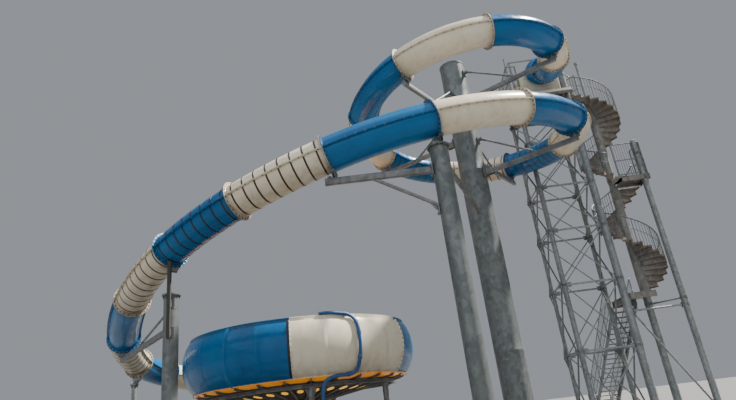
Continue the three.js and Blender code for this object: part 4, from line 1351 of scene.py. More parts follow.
    def entry_body(self, radius: float, name: str) -> bpy.types.Object:
        """Filled tube of the last piece of the course, with a rounded nose.

        Args:
            radius: radius of the tube.
            name: name of the object.

        Returns:
            The object.
        """
        s, share = self.nose_profile(-0.02, 30)
        bag = MeshBag()
        bag.sheet(self.tube.surface(self.course.legs[-1], s, radius * share))
        return bag.build(name, [])

    def inside_body(self, name: str) -> bpy.types.Object:
        """Filled inner space of the bowl, up to above its rim.

        Args:
            name: name of the object.

        Returns:
            The object.
        """
        a = np.linspace(self.low_angle, self.shoulder, 30)
        curve = np.stack(self.section(a, -self.wall), axis=1)
        low, high = curve[0, 1] - 0.4, 5.4
        profile = np.concatenate([[(0.0, low), (curve[0, 0], low)], curve,
                                  [(curve[-1, 0] - 0.1, high), (0.0, high)]])
        bag = MeshBag()
        bag.lathe((self.x, self.y), profile, 120)
        return bag.build(name, [])

    def build_entry(self) -> None:
        """Last piece of tube, open where it is inside the bowl, and its ring flange."""
        tube, piece = self.tube, self.course.legs[-1]
        radius, coats = tube.radius, [self.finishes.cream, self.finishes.rusty_bolt]
        s, share = self.nose_profile(tube.gap, 40)
        profile = np.concatenate([np.stack([radius * share, s], 1),
                                  np.stack([(radius - tube.wall) * share, s], 1)[::-1]])
        bag = MeshBag()
        tube.shell(bag, piece, profile, 0.4 * np.exp(-profile[:, 1] / 0.1) + 0.12)
        shell = bag.build("bowl_entry_tube_shell", coats)
        cut(shell, self.inside_body("bowl_space"))
        place_piece(shell, "cream", "bowl_entry_tube")
        low, thick, rim = tube.gap, tube.flange_thick, tube.flange_radius
        face = low + thick
        bag = MeshBag()
        ring = np.array([(radius - 0.004, low), (rim, low), (rim, face), (radius + 0.02, face),
                         (radius - 0.004, face + 0.02)])
        tube.shell(bag, piece, ring, np.full(5, 0.5))
        tube.ridge(bag, piece, thick, 1.05, 0)
        tube.ring_bolt_row(bag, piece, face, 1, 1)
        tube.ridge_bolts(bag, piece, thick, 1.0, 1)
        bag.hand_in("bowl_entry_flange", coats, "cream")

    @property
    def floor_edge(self) -> float:
        """Radius where the dished floor meets the flat lip."""
        return self.rim[0] - self.lip

    @property
    def floor_slope(self) -> float:
        """Fall of the floor for each metre towards the drain."""
        return self.drop / (self.floor_edge - self.drain)

    def underside(self, radius: Value) -> Value:
        """Height of the floor's underside: it falls evenly from the rim to the drain."""
        fall = self.floor_slope * np.maximum(0.0, self.floor_edge - radius)
        return self.rim[1] - 0.0003 - self.skin - fall

    def build_floor(self) -> None:
        """Orange coffered floor, brown below as painted shade inside the ring beam, glowing lenses.
        """
        rim_r, edge = self.rim[0], self.floor_edge
        per_bay = 12
        number = np.arange(self.bays * per_bay)
        az, part = number * 360.0 / len(number), (number % per_bay) / per_bay
        radii = np.array([rim_r + 0.05, rim_r, edge, edge - 0.04, 3.63, 3.4, 2.9, 2.4, 1.9, 1.4,
                          1.0, self.drain])[:, None]
        coffer = np.clip((np.minimum(part, 1 - part) - 0.09) / 0.08, 0, 1)
        sunk = (radii < edge - 0.02) & (radii > 0.9)
        z = self.underside(radii)
        top = self.at(radii, az, z + self.skin)
        low = self.at(radii, az, z + 0.001 - 0.035 * coffer * sunk)
        outer = 5
        bag = MeshBag()
        bag.sheet(np.concatenate([top[:outer], low[:outer][::-1]]), True)
        bag.sheet(np.concatenate([top[outer - 1:], low[outer - 1:][::-1]]), True)
        # Orange on the top faces; the edge and the underside get the dark brown of painted shade.
        faces, _ = bag.faces.pop()
        upper = (len(top) - outer) * len(az)
        bag.faces += [(faces[:upper], 0), (faces[upper:], 1)]
        # Amber lenses under the floor, whose glow is painted light.
        a, lens = round_angles(14), 2.45
        r = lens + 0.2 * np.cos(a)
        for k in range(self.bays):
            middle = (k + 0.5) * 360.0 / self.bays
            face = self.at(r, middle + np.degrees(0.115 * np.sin(a) / lens),
                           self.underside(r) - 0.032)
            bag.sheet(np.stack([face, face - [0, 0, 0.02]]), False, 2)
        spots = self.at(rim_r + 0.04, np.arange(1.5, 360, 3.0), self.rim[1] - 0.022)
        bag.stamp(BOLT, spots, -UP, 3)
        made = self.finishes
        bag.hand_in("bowl_floor_panels", [made.orange, made.underfloor_shade, made.lens, made.bolt],
                    "orange", "bowl_floor")

    def build_frame(self) -> None:
        """Radial ribs, ring beam, hub ring, legs with braces and foot plates."""
        bag = MeshBag()
        edge, height = self.floor_edge, self.rib_height
        lower = (height / 2 + 0.0003) * math.hypot(1, self.floor_slope)
        d = 360.0 * np.arange(self.bays) / self.bays
        inner = self.drain + 0.06
        bag.bars(self.at(inner, d, self.underside(inner) - lower),
                 self.at(edge, d, self.underside(edge) - lower), rounded(0.05, height, 0.006))
        level = self.rim[1] - 0.04
        bag.bars(self.at(edge - 0.03, d, level), self.at(self.rim[0] - 0.03, d, level),
                 rounded(0.04, 0.03, 0.004))
        ring, half, deep, skin = self.ring_radius, 0.06, 0.11, 0.012
        ring_z = self.underside(ring) - height
        low, inside = ring_z - deep, ring - half + skin
        bag.lathe((self.x, self.y), np.array([
            (ring - half, low), (ring + half, low), (ring + half, low + skin),
            (inside, low + skin), (inside, ring_z - skin), (ring + half, ring_z - skin),
            (ring + half, ring_z), (ring - half, ring_z)]), 168)
        hub_z = self.underside(self.drain + 0.1) - 0.06
        near, far = self.drain + 0.05, self.drain + 0.11
        bag.lathe((self.x, self.y), np.array([(near, hub_z - 0.12), (far, hub_z - 0.12),
                                              (far, hub_z + 0.02), (near, hub_z + 0.02)]), 84)
        for k in range(self.legs):
            self.frame_leg(bag, 360.0 * (k + 0.5) / self.legs, low)
        bag.hand_in("bowl_frame_steel", [self.finishes.dark_zinc, self.finishes.bolt],
                    "dark_steel", "bowl_frame")

    def frame_leg(self, bag: MeshBag, degrees: float, top: float) -> None:
        """One leg of the frame: pipe, foot plate, head plate and two gussets.

        Args:
            bag: mesh to add to.
            degrees: azimuth of the leg.
            top: height of its top.
        """
        turn = math.radians(degrees)
        foot = self.at(self.ring_radius, degrees, 0.0)
        bag.bars(foot + 0.03 * UP, foot + top * UP, circle(self.leg_radius, 32))
        bag.block(foot + 0.015 * UP, (0.3, 0.3, 0.03), turn)
        bag.block(foot + (top - 0.012) * UP, (0.26, 0.26, 0.024), turn)
        bag.corner_bolts(BIG_BOLT, foot + 0.03 * UP, (0.11, 0.11), turn)
        across = np.array([math.cos(turn), math.sin(turn), 0.0]) * 0.006
        for way in (-1, 1):
            side = unit(self.at(self.ring_radius, degrees + way * 0.08, 0.0) - foot)
            corners = foot + np.outer((0.09, 0.09, 0.2, 0.2), side)
            corners[:, 2] = top - np.array([0.03, 0.3, 0.06, 0.03])
            bag.plate(corners, across)

    def build_pipe(self) -> None:
        """Feed pipe over the rim, down the wall and to the ground, with couplings and clips."""
        azimuth, off = self.pipe_azimuth, self.pipe_off
        route = np.array([(-72, 50.5), (-65, 49), (-58, 42.5), (azimuth, 25), (azimuth, 0),
                          (azimuth, -25), (-56, -48), (-59, -58), (-66, -60)])
        knots = np.concatenate([self.on_wall(route[:, 0], route[:, 1], off), [
            self.at(4.15, -71, 2.75), *self.at(4.12, -72.5, np.array([2.3, 1.2, 0.0]))]])
        path = spline(knots, 10)
        bag = MeshBag()
        bag.sweep(path, circle(self.pipe_radius, 24))
        steps = np.linalg.norm(np.diff(path, axis=0), axis=1)
        length = np.concatenate([[0], np.cumsum(steps)])
        for middle in np.searchsorted(length, self.couplings):
            bag.sweep(path[middle - 1:middle + 2], circle(self.pipe_radius + 0.013, 24))
        for angle in self.clips:
            bag.bars(self.on_wall(azimuth, angle, 0.0005), self.on_wall(azimuth, angle, off),
                     rounded(0.09, 0.03, 0.004), 1)
            bag.bars(self.on_wall(azimuth, angle + 1.6, off),
                     self.on_wall(azimuth, angle - 1.6, off), circle(0.068, 24), 1)
        bag.lathe(tuple(knots[-1, :2]), np.array([
            (0.0, 0.0), (0.11, 0.0), (0.11, 0.018), (0.062, 0.02), (0.0, 0.02)]), 28)
        bag.hand_in("bowl_feed_pipe_run", [self.finishes.pipe, self.finishes.dark_zinc], "pipe",
                    "bowl_feed_pipe")

    def build(self) -> None:
        """Walls, entry, floor, frame and pipe."""
        for name, gel, past_seam, span in (
            ("front_left", Gel.BLUE, -90, 90), ("front_right", Gel.CREAM, 0, 60),
            ("back_right", Gel.BLUE, 60, 90), ("back_left", Gel.CREAM, 150, 120),
        ):
            self.wall_piece(f"bowl_wall_{name}", gel, self.seam + past_seam, span)
        self.build_entry()
        self.build_floor()
        self.build_frame()
        self.build_pipe()


@dataclass(frozen=True)
class Reach:
    """Frame of a level arm, from a column's axis to its tip."""

    start: Array
    tip: Array
    root: float

    @property
    def forward(self) -> Array:
        """Direction of the arm."""
        return unit(self.tip - self.start)

    @property
    def across(self) -> Array:
        """Level direction square to the arm."""
        return np.cross(UP, self.forward)

    @property
    def turn(self) -> float:
        """Turn of the arm about Z in radians."""
        return math.atan2(self.forward[1], self.forward[0])

    def at(self, ahead: float, side: float = 0.0, rise: float = 0.0) -> Array:
        """Point at steps ahead of the column's face, to the side and up."""
        face = self.start + self.forward * self.root
        return face + self.forward * ahead + self.across * side + UP * rise

    def spots(self, ahead: float, sides: tuple[float, ...], rises: tuple[float, ...]) -> Array:
        """Points at every pair of a step to the side and a step up."""
        return np.array([self.at(ahead, side, rise) for side in sides for rise in rises])


@dataclass
class Steelwork:
    """Columns, cantilever arms, ties and the cradles under the tube's joints."""

    course: Course
    finishes: Finishes
    main_radius: float = 0.475
    main_height: float = 14.08
    second: Root = (-1.92, -5.32, 0.25)
    left: Root = (-9.89, -3.2, 0.21)
    left_height: float = 5.43
    saddle_drop: float = 0.7
    cradle_radius: float = 0.607
    plate_thick: float = 0.01
    foot_thick: float = 0.03
    top_flange: float = 0.044
    fit: float = 0.002
    arm_half: float = 0.08
    arm_over: float = 0.12
    weld_beads: tuple[float, ...] = (3.0, 6.2, 9.4, 12.2)
    weld_seam: float = math.radians(-40)
    post_heights: Span = (4.31, 5.11)
    lug: float = 0.012

    @property
    def layers(self) -> list[Material]:
        """Steel, bolts and pads."""
        return [self.finishes.dark_zinc, self.finishes.bolt, self.finishes.rubber]

    def cradle(self, bag: MeshBag, k: int, post_foot: float | None = None) -> None:
        """Curved plate under joint k with a rubber pad, webs and an upright post.

        Args:
            bag: mesh to add to.
            k: joint number.
            post_foot: height where the post starts, or None without a post.
        """
        end = self.course.joint(k)
        piece = self.course.legs[k + self.course.first_joint]
        point, forward, side, up = (v[0] for v in self.course.frames(piece, np.array([0.0])))
        a = np.radians(np.linspace(-114, -66, 16))[:, None]
        ring = side * np.cos(a) + up * np.sin(a)
        middle, thick = self.cradle_radius, self.plate_thick
        for low, half, finish in ((middle - thick, 0.05, 2), (middle, 0.06, 0)):
            high = low + thick
            bag.sheet(np.stack([point + ring * r + forward * f for r, f in (
                (low, half), (high, half), (high, -half), (low, -half))], axis=1), False, finish)
        top = point + ring[3:-3] * (middle + thick + 0.001)
        low = top.copy()
        low[:, 2] = np.minimum(top[:, 2] - 0.02, end.z - 0.7)
        for shift in (-0.035, 0.035):
            near, far = forward * (shift - 0.006), forward * (shift + 0.006)
            bag.sheet(np.stack([top + near, top + far, low + far, low + near], axis=1))
        if post_foot is not None:
            bag.bars(np.array([end.x, end.y, post_foot]), np.array([end.x, end.y, end.z - 0.64]),
                     rounded(0.11, 0.11, 0.01, 2))
        places = np.array([point + side * w + forward * f
                           for w in (-0.17, 0.17) for f in (-0.05, 0.05)])
        places[:, 2] = end.z - 0.6
        bag.stamp(BOLT, places, -UP)

    def reach(self, root: Root, k: int) -> Reach:
        """Level arm from a column to the place below a joint.

        Args:
            root: plan position and radius of the column.
            k: joint number.

        Returns:
            Its frame.
        """
        end = self.course.joint(k)
        level = end.z - self.saddle_drop - self.arm_half
        start, tip = np.array([*root[:2], level]), np.array([end.x, end.y, level])
        return Reach(start, tip, root[2] + self.fit)

    def arm(self, node: str, root: Root, k: int, tie_rise: float, tie_reach: float) -> None:
        """Cantilever arm to joint k: box beam, tie rod above it, root plates and cradle.

        Args:
            node: solid that it stands for.
            root: plan position and radius of the column.
            k: joint number.
            tie_rise: height of the tie's root above the beam.
            tie_reach: where the tie lands, as a share of the beam.
        """
        arm, over = self.reach(root, k), self.arm_over
        forward, across, turn = arm.forward, arm.across, arm.turn
        bag = MeshBag()
        bag.bars(arm.at(0), arm.tip + forward * over, rounded(0.12, 0.16, 0.014, 2))
        bag.block(arm.tip + forward * (over + 0.004), (0.01, 0.13, 0.17), turn)
        bag.block(arm.at(0.02), (0.036, 0.3, 0.36), turn)
        for side in (-0.075, 0.075):
            bag.bars(arm.at(0.02, side), arm.at(0.34, side), rounded(self.lug, 0.24, 0.004))
        bag.stamp(BIG_BOLT, arm.spots(0.038, (-0.115, 0.115), (-0.13, 0, 0.13)), forward)
        tie_top = arm.at(0.1, 0, tie_rise - 0.02)
        tie_foot = arm.start + (arm.tip - arm.start) * tie_reach + UP * 0.13
        bag.bars(tie_top, tie_foot, circle(0.034, 16))
        ahead = unit(tie_foot - tie_top)
        for spot, way in ((tie_top, ahead), (tie_foot, -ahead)):
            bag.bars(spot + way * 0.05, spot + way * 0.24, circle(0.047, 12))
            bag.bars(spot - across * 0.06, spot + across * 0.06, circle(0.022, 10), 1)
        bag.block(arm.at(0.015, 0, tie_rise - 0.04), (0.03, 0.2, 0.24), turn)
        for side in (-0.03, 0.03):
            bag.bars(arm.at(0, side, tie_rise - 0.03), arm.at(0.15, side, tie_rise - 0.02),
                     rounded(self.lug, 0.12, 0.004))
            lug = tie_foot + across * side - UP * 0.06
            bag.bars(lug - forward * 0.08, lug + forward * 0.08, rounded(self.lug, 0.15, 0.004))
        self.cradle(bag, k, arm.start[2] + 0.06)
        bag.hand_in(f"{node}_steel", self.layers, "dark_steel", node)

    def foot(self, bag: MeshBag, root: Root, size: float) -> None:
        """Foot plate with webs and anchor bolts.

        Args:
            bag: mesh to add to.
            root: plan position and radius of the column.
            size: width of the plate.
        """
        (x, y, radius), thick = root, self.foot_thick
        near = radius - 0.01
        bag.block(np.array([x, y, thick / 2]), (size, size, thick))
        tip = near + min(0.2, size / 2 - radius + 0.02)
        bag.webs((x, y), 8, (near, tip, tip, near), (thick, thick, 0.09, 0.34), 0.008)
        half = size / 2 - 0.07
        spots = np.array([[x + i * half, y + j * half, thick]
                          for i in (-1, 0, 1) for j in (-1, 0, 1) if i or j])
        bag.stamp(BIG_BOLT, spots, UP)

    def build_main(self) -> None:
        """Main column: rolled tube with weld beads, an open top rim and its foot."""
        r, h, low = self.main_radius, self.main_height, self.foot_thick
        profile = [(0.0, low), (r, low)]
        for bead in self.weld_beads:
            profile += [(r, bead - 0.02), (r + 0.005, bead - 0.008), (r + 0.005, bead + 0.008),
                        (r, bead + 0.02)]
        profile += [(r, h - 0.06), (r + 0.012, h - 0.055), (r + 0.012, h), (r - 0.02, h),
                    (r - 0.02, h - 0.5), (0.0, h - 0.5)]
        fine = []
        for (r0, z0), (r1, z1) in zip(profile[:-1], profile[1:]):
            count = max(1, int(abs(z1 - z0) / 0.5))
            t = np.arange(count) / count
            fine += list(zip(r0 + (r1 - r0) * t, z0 + (z1 - z0) * t))
        bag = MeshBag()
        bag.lathe((0.0, 0.0), np.array([*fine, profile[-1]]), 72)
        seam = self.weld_seam
        line = np.array([math.cos(seam), math.sin(seam), 0]) * (r - self.fit)
        bag.bars(line + 0.05 * UP, line + (h - 0.1) * UP, circle(0.007, 8))
        self.foot(bag, (0.0, 0.0, r), 1.5)
        bag.hand_in("main_column_tube", [self.finishes.zinc, self.finishes.bolt], "galvanised",
                    "main_column")

    def flanged(self, bag: MeshBag, root: Root, height: float, reach: float) -> None:
        """Round column with a bolted flange pair at its top and its foot.

        Args:
            bag: mesh to add to.
            root: plan position and radius.
            height: its height.
            reach: how far the flanges stand out.
        """
        x, y, radius = root
        rim, near = radius + reach, radius - 0.01
        face, middle = height - self.top_flange, height - self.top_flange / 2
        shaft = [(radius, z) for z in np.arange(self.foot_thick, height - 0.06, 0.6)]
        profile = [(0.0, self.foot_thick), *shaft, (radius, face), (rim, face),
                   (rim, middle - 0.002), (rim - 0.003, middle), (rim, middle + 0.002),
                   (rim, height), (0.0, height)]
        bag.lathe((x, y), np.array(profile), 56)
        spots = np.column_stack([circle(rim - 0.025, 12) + [x, y], np.full(12, height)])
        bag.stamp(BOLT, spots, UP)
        bag.stamp(BOLT, spots - self.top_flange * UP, -UP)
        bag.webs((x, y), 8, (near, rim - 0.012, radius + 0.01, near),
                 (height - 0.045, height - 0.045, height - 0.16, height - 0.16), 0.005)
        self.foot(bag, root, 3 * radius)

    def saddle_column(self, node: str, root: Root, k: int, height: float,
                      finish: Material) -> None:
        """Column with a flanged top, a leaning post and a cradle under joint k.

        Args:
            node: solid that it stands for.
            root: plan position and radius.
            k: joint number.
            height: height of the column.
            finish: its material.
        """
        end = self.course.joint(k)
        bag = MeshBag()
        self.flanged(bag, root, height, 0.06)
        bag.bars(np.array([*root[:2], height - 0.02]), np.array([end.x, end.y, end.z - 0.66]),
                 rounded(0.14, 0.14, 0.012, 2), 3)
        self.cradle(bag, k)
        bag.hand_in(f"{node}_tube", [finish, *self.layers[1:], self.finishes.dark_zinc],
                    "galvanised", node)

    def build_sweep_arm(self) -> None:
        """Long arm of the second column with the prop under it."""
        arm, over, radius = self.reach(self.second, 11), self.arm_over, self.second[2]
        bag = MeshBag()
        bag.bars(arm.at(0), arm.tip + arm.forward * over, rounded(0.13, 0.18, 0.014, 2))
        bag.block(arm.tip + arm.forward * (over + 0.004), (0.01, 0.14, 0.19), arm.turn)
        prop_foot = arm.start - 1.15 * UP
        prop_top = arm.start + (arm.tip - arm.start) * 0.64 - 0.02 * UP
        ahead = unit(prop_top - prop_foot)
        bag.bars(prop_foot + ahead * (radius + 0.1), prop_top, rounded(0.08, 0.08, 0.01, 2))
        for drop, width, height in ((0.0, 0.26, 0.32), (-1.115, 0.2, 0.27)):
            bag.block(arm.at(0.018, 0, drop), (0.036, width, height), arm.turn)
            half = height / 2 - 0.04
            spots = arm.spots(0.036, (-0.085, 0.085), (drop - half, drop + half))
            bag.stamp(BIG_BOLT, spots, arm.forward)
        bag.bars(arm.at(0.02, 0, -1.1), prop_foot + ahead * (radius + 0.22),
                 rounded(self.lug, 0.13, 0.004))
        self.cradle(bag, 11, arm.start[2] + 0.07)
        bag.hand_in("sweep_arm_steel", self.layers, "dark_steel", "sweep_arm")

    def build_tie(self, z: float) -> None:
        """Level tie between the second and the main column.

        Args:
            z: its height.
        """
        x, y, radius = self.second
        tie = Reach(np.array([x, y, z]), np.array([0.0, 0.0, z]), radius + self.fit)
        far = tie.tip - tie.forward * (self.main_radius + self.fit)
        bag = MeshBag()
        bag.bars(tie.at(0), far, rounded(0.11, 0.15, 0.012, 2))
        for spot in (tie.at(0.012), far - tie.forward * 0.012):
            bag.block(spot, (0.022, 0.22, 0.26), tie.turn)
        bag.hand_in("column_tie_steel", [self.finishes.dark_zinc], "dark_steel", "column_tie")

    def build_left(self) -> None:
        """Left column, the square post on its face and the long arm to the bend."""
        x, y, radius = self.left
        bag = MeshBag()
        self.flanged(bag, self.left, self.left_height, 0.05)
        bag.hand_in("left_column_tube", [self.finishes.zinc, self.finishes.bolt], "galvanised",
                    "left_column")
        joint = self.course.joint(13)
        middle, face = x + 0.06, y - radius
        post = face - 0.135
        bag = MeshBag()
        bag.bars(np.array([middle, post, 4.15]), np.array([middle, post, joint.z - 0.44]),
                 rounded(0.1, 0.1, 0.012, 2), 2)
        for z in self.post_heights:
            for outline, near, far in ((rounded(0.09, 0.2, 0.006), post + 0.06, face + 0.002),
                                       (rounded(0.24, 0.3, 0.006), face - 0.02, face + 0.004)):
                bag.bars(np.array([middle, near, z]), np.array([middle, far, z]), outline)
            spots = np.array([[middle + w, face - 0.02, z + h]
                              for w in (-0.09, 0.09) for h in (-0.11, 0.11)])
            bag.stamp(BOLT, spots, (0.0, -1.0, 0.0))
        level = joint.z - 0.64
        bag.bars(np.array([middle, post, level]), np.array([joint.x, joint.y, level]),
                 rounded(0.1, 0.1, 0.01, 2))
        self.cradle(bag, 13)
        bag.hand_in("left_bracket_steel", self.layers, "dark_steel", "left_bracket")

    def build(self) -> None:
        """Every column and arm."""
        self.build_main()
        root = (0.0, 0.0, self.main_radius)
        for place, k, rise, reach in (
            ("top_right", 0, 1.23, 0.6), ("top_left", 2, 1.1, 0.5), ("back_left", 4, 1.1, 0.55),
            ("back_right", 6, 1.1, 0.5), ("low_right", 8, 1.38, 0.62),
        ):
            self.arm(f"helix_arm_{place}", root, k, rise, reach)
        height = self.course.joint(10).z - self.saddle_drop - 0.12
        self.saddle_column("second_column", self.second, 10, height, self.finishes.zinc)
        self.build_sweep_arm()
        self.build_tie(height - 0.26)
        self.build_left()
        self.arm("left_arm", self.left, 15, 0.56, 0.55)
        bend = self.course.joint(16)
        self.saddle_column("bend_post", (bend.x - 0.14, bend.y, 0.1), 16,
                           bend.z - self.saddle_drop - 0.1, self.finishes.mottled_zinc)


@dataclass
class StairTower:
    """Lattice tower with the start platform, winding stairs round a mast and a straight flight.

    Plan axes: u to the right and v to the back, from the front middle leg.
    """

    finishes: Finishes
    tube: SlideTube
    origin: Span = (5.447, 2.89)
    turn: float = math.radians(-1.7)
    bay: float = 2.17
    depth: float = 1.79
    mast: Span = (1.2, 0.895)
    mast_gap: float = 0.152
    deck: tuple[float, float, float, float] = (-2.52, 0.12, -0.42, 1.95)
    deck_top: float = 14.0
    deck_under: float = 13.76
    skin: float = 0.014
    top_bar: float = 15.95
    riser: float = 0.191
    stair_radius: float = 1.08
    stair_top: float = 219.0
    tread_turn: float = 18.0
    landing_z: float = 9.607
    access_z: float = 4.832
    going: float = 0.26
    upper_treads: int = 22
    lower_treads: int = 24
    plate: float = 0.025
    rail_height: float = 1.0
    tie_heights: Span = (4.15, 4.42)
    levels: tuple[float, ...] = (0.4, 2.9, 5.45, 7.7, 9.63, 11.7, 13.5)

    @property
    def zinc(self) -> list[Material]:
        """Mottled pipes and bars, dark clamps and bolts."""
        return [self.finishes.mottled_zinc, self.finishes.dark_zinc, self.finishes.bolt]

    @property
    def plates(self) -> list[Material]:
        """Stained walking plates and the steel that carries them."""
        return [self.finishes.tread, self.finishes.rust_steel]

    def at(self, u: Value, v: Value, z: Value) -> Array:
        """Point of the tower: x, y = origin + (u, v) turned by the tower's turn.

        Args:
            u: plan position to the right.
            v: plan position to the back.
            z: height.

        Returns:
            The point or points, the last axis being (x, y, z).
        """
        c, s = math.cos(self.turn), math.sin(self.turn)
        x = self.origin[0] + np.asarray(u) * c - np.asarray(v) * s
        y = self.origin[1] + np.asarray(u) * s + np.asarray(v) * c
        return np.stack(np.broadcast_arrays(x, y, z), axis=-1).astype(float)

    def round_mast(self, degrees: Value, radius: Value, z: Value) -> Array:
        """Point at an azimuth, radius and height about the mast."""
        a = np.radians(degrees)
        return self.at(self.mast[0] + radius * np.cos(a), self.mast[1] + radius * np.sin(a), z)

    def box(self, bag: MeshBag, us: Span, vs: Span, zs: Span, finish: int = 0) -> None:
        """Upright box of the tower.

        Args:
            bag: mesh to add to.
            us: its two values of u.
            vs: its two values of v.
            zs: its two heights.
            finish: index of the material.
        """
        middle = self.at(sum(us) / 2, sum(vs) / 2, sum(zs) / 2)
        size = (us[1] - us[0], vs[1] - vs[0], zs[1] - zs[0])
        bag.block(middle, size, self.turn, finish)

    def fan(self, bag: MeshBag, degrees: Span, radii: Span, zs: Span, finish: int = 0,
            grime_and_shade: float = 0.0) -> None:
        """Upright sector about the mast.

        Args:
            bag: mesh to add to.
            degrees: its two azimuths.
            radii: its two radii.
            zs: its two heights.
            finish: index of the material.
            grime_and_shade: stain share of the whole of it.
        """
        a = np.linspace(*degrees, max(2, int(abs(degrees[1] - degrees[0]) / 6) + 1))
        corners = [(radii[0], zs[0]), (radii[1], zs[0]), (radii[1], zs[1]), (radii[0], zs[1])]
        grid = np.stack([self.round_mast(a, r, z) for r, z in corners], axis=1)
        bag.sheet(grid, False, finish, np.full(grid.shape[:2], grime_and_shade))

    def leg(self, bag: MeshBag, u: float, v: float, radius: float, top: float,
            collars: tuple[float, ...] = ()) -> None:
        """Round leg with clamp collars, a domed cap and a webbed foot plate.

        Args:
            bag: mesh to add to.
            u: plan position.
            v: plan position.
            radius: radius of the pipe.
            top: height of its top.
            collars: heights of the clamps round it.
        """
        x, y, _ = foot = self.at(u, v, 0.0)
        shaft = [(radius, z) for z in np.arange(0.02, top - 0.1, 0.8)]
        bag.lathe((x, y), np.array([(0.0, 0.02), *shaft, (radius, top - 0.012),
                                    (radius - 0.012, top), (0.0, top)]), 32)
        half, near, out = 0.05, radius - 0.004, radius + 0.011
        for z in collars:
            bag.lathe((x, y), np.array([(near, z - half), (out, z - half), (out, z + half),
                                        (near, z + half)]), 32, 1)
            for side in (-out - 0.012, out + 0.012):
                bag.block(self.at(u, v + side, z), (0.03, 0.05, 1.6 * half), self.turn, 1)
        size, thick = 3.2 * radius, self.plate
        bag.block(foot + UP * thick / 2, (size, size, thick), self.turn)
        reach = size / 2 - 0.035
        bag.corner_bolts(BIG_BOLT, foot + UP * thick, (reach, reach), self.turn, 2)
        root, tip = radius - 0.01, 0.48 * size
        bag.webs((x, y), 4, (root, tip, tip, root), (thick, thick, 0.05, 0.2), 0.005, self.turn)

    def lattice(self, bag: MeshBag, a: Span, b: Span, reach: float) -> None:
        """Level angle bars and crossed ones between two plan points, with gussets and bolts.

        Args:
            bag: mesh to add to.
            a: plan point of one end.
            b: plan point of the other end.
            reach: how far from either end the gussets start.
        """
        z = np.array(self.levels)
        low, high = self.at(*a, z), self.at(*b, z)
        along = unit(high[0] - low[0])
        normal = np.cross(UP, along)
        cross_bar, plate = angle_outline(0.05, 0.006), rounded(0.009, 0.2, 0.003)
        gap = normal * 0.012
        bag.bars(low, high, angle_outline(0.07, 0.007))
        bag.bars(low[:-1] + gap, high[1:] + gap, cross_bar)
        bag.bars(high[:-1] - gap, low[1:] - gap, cross_bar)
        tips = [(low[:-1] + high[1:]) / 2]
        for end, way in ((low, along), (high, -along)):
            inner = end + way * reach
            bag.bars(inner, inner + way * 0.2, plate)
            tips += [inner + way * out + UP * rise
                     for out in (0.06, 0.15) for rise in (-0.06, 0.06)]
        spots = np.concatenate(tips)
        for way in (-normal, normal):
            bag.stamp(BOLT, spots + way * 0.006, way, 2)

    def build_frames(self) -> None:
        """Front and back frames with their legs, and the two lattice sides."""
        left, depth, under = -self.bay, self.depth, self.deck_under
        post = rounded(0.06, 0.06, 0.008, 2)
        bag = MeshBag()
        self.leg(bag, left, 0.0, 0.1, under, self.levels)
        self.leg(bag, 0.0, 0.0, 0.15, self.top_bar + 0.06, (*self.levels, 14.9, 15.8))
        self.lattice(bag, (left, 0.0), (0.0, 0.0), 0.1)
        bag.bars(self.at(left, 0, under - 0.05), self.at(left, 0, self.top_bar + 0.02), post)
        bag.bars(self.at(left - 0.03, 0, self.top_bar), self.at(-0.14, 0, self.top_bar), post)
        bag.hand_in("tower_front_frame_steel", self.zinc, "galvanised", "tower_front_frame")
        bag = MeshBag()
        self.leg(bag, left, depth, 0.085, under, self.levels)
        self.leg(bag, 0.0, depth, 0.1, under, self.levels)
        self.lattice(bag, (left, depth), (0.0, depth), 0.1)
        bag.hand_in("tower_back_frame_steel", self.zinc, "galvanised", "tower_back_frame")
        for word, u, over, reach in (("left", left - 0.1353, 0.06, 0.08),
                                     ("right", -0.1853, -0.036, 0.02)):
            bag = MeshBag()
            self.lattice(bag, (u, -over), (u, depth + over), reach)
            bag.hand_in(f"tower_{word}_lattice_steel", self.zinc, "galvanised",
                        f"tower_{word}_lattice")

    def build_mast(self) -> None:
        """Mast of the winding stairs and the outer stair leg with its ties."""
        u, v = self.mast
        bag = MeshBag()
        self.leg(bag, u, v, 0.15, self.deck_top, (self.tie_heights[1], 9.3, 13.8))
        low, top = self.deck_top - 0.1, self.top_bar + 0.1
        bag.lathe(tuple(self.at(u, v, 0.0)[:2]), np.array([
            (0.0, low), (0.06, low), (0.06, top - 0.13), (0.088, top - 0.12), (0.09, top - 0.02),
            (0.07, top), (0.0, top)]), 24)
        bag.hand_in("stair_mast_tube", self.zinc, "galvanised", "stair_mast")
        bag = MeshBag()
        low, high = self.tie_heights
        self.leg(bag, self.bay, 0.0, 0.125, self.landing_z + 1.6, (0.5, low, high, 9.45, 10.6))
        near, far, tie = self.bay - 0.12, self.mast_gap, circle(0.038, 16)
        bag.bars(self.at(near, 0, low), self.at(far, 0, low), tie)
        ahead = unit(np.array([u - self.bay, v]))
        a, b = [self.bay, 0.0] + ahead * 0.12, [u, v] - ahead * far
        bag.bars(self.at(*a, high), self.at(*b, high), tie)
        bag.bars(self.at(near, 0, 0.58), self.at(far, 0, 4.05), circle(0.034, 16))
        for spot, z in ((near - 0.02, low), (far + 0.02, low), (near - 0.02, 0.62),
                        (far + 0.02, 4.02)):
            bag.block(self.at(spot, 0.0, z), (0.04, 0.14, 0.2), self.turn, 1)
        bag.hand_in("stair_leg_tube", self.zinc, "galvanised", "stair_leg")

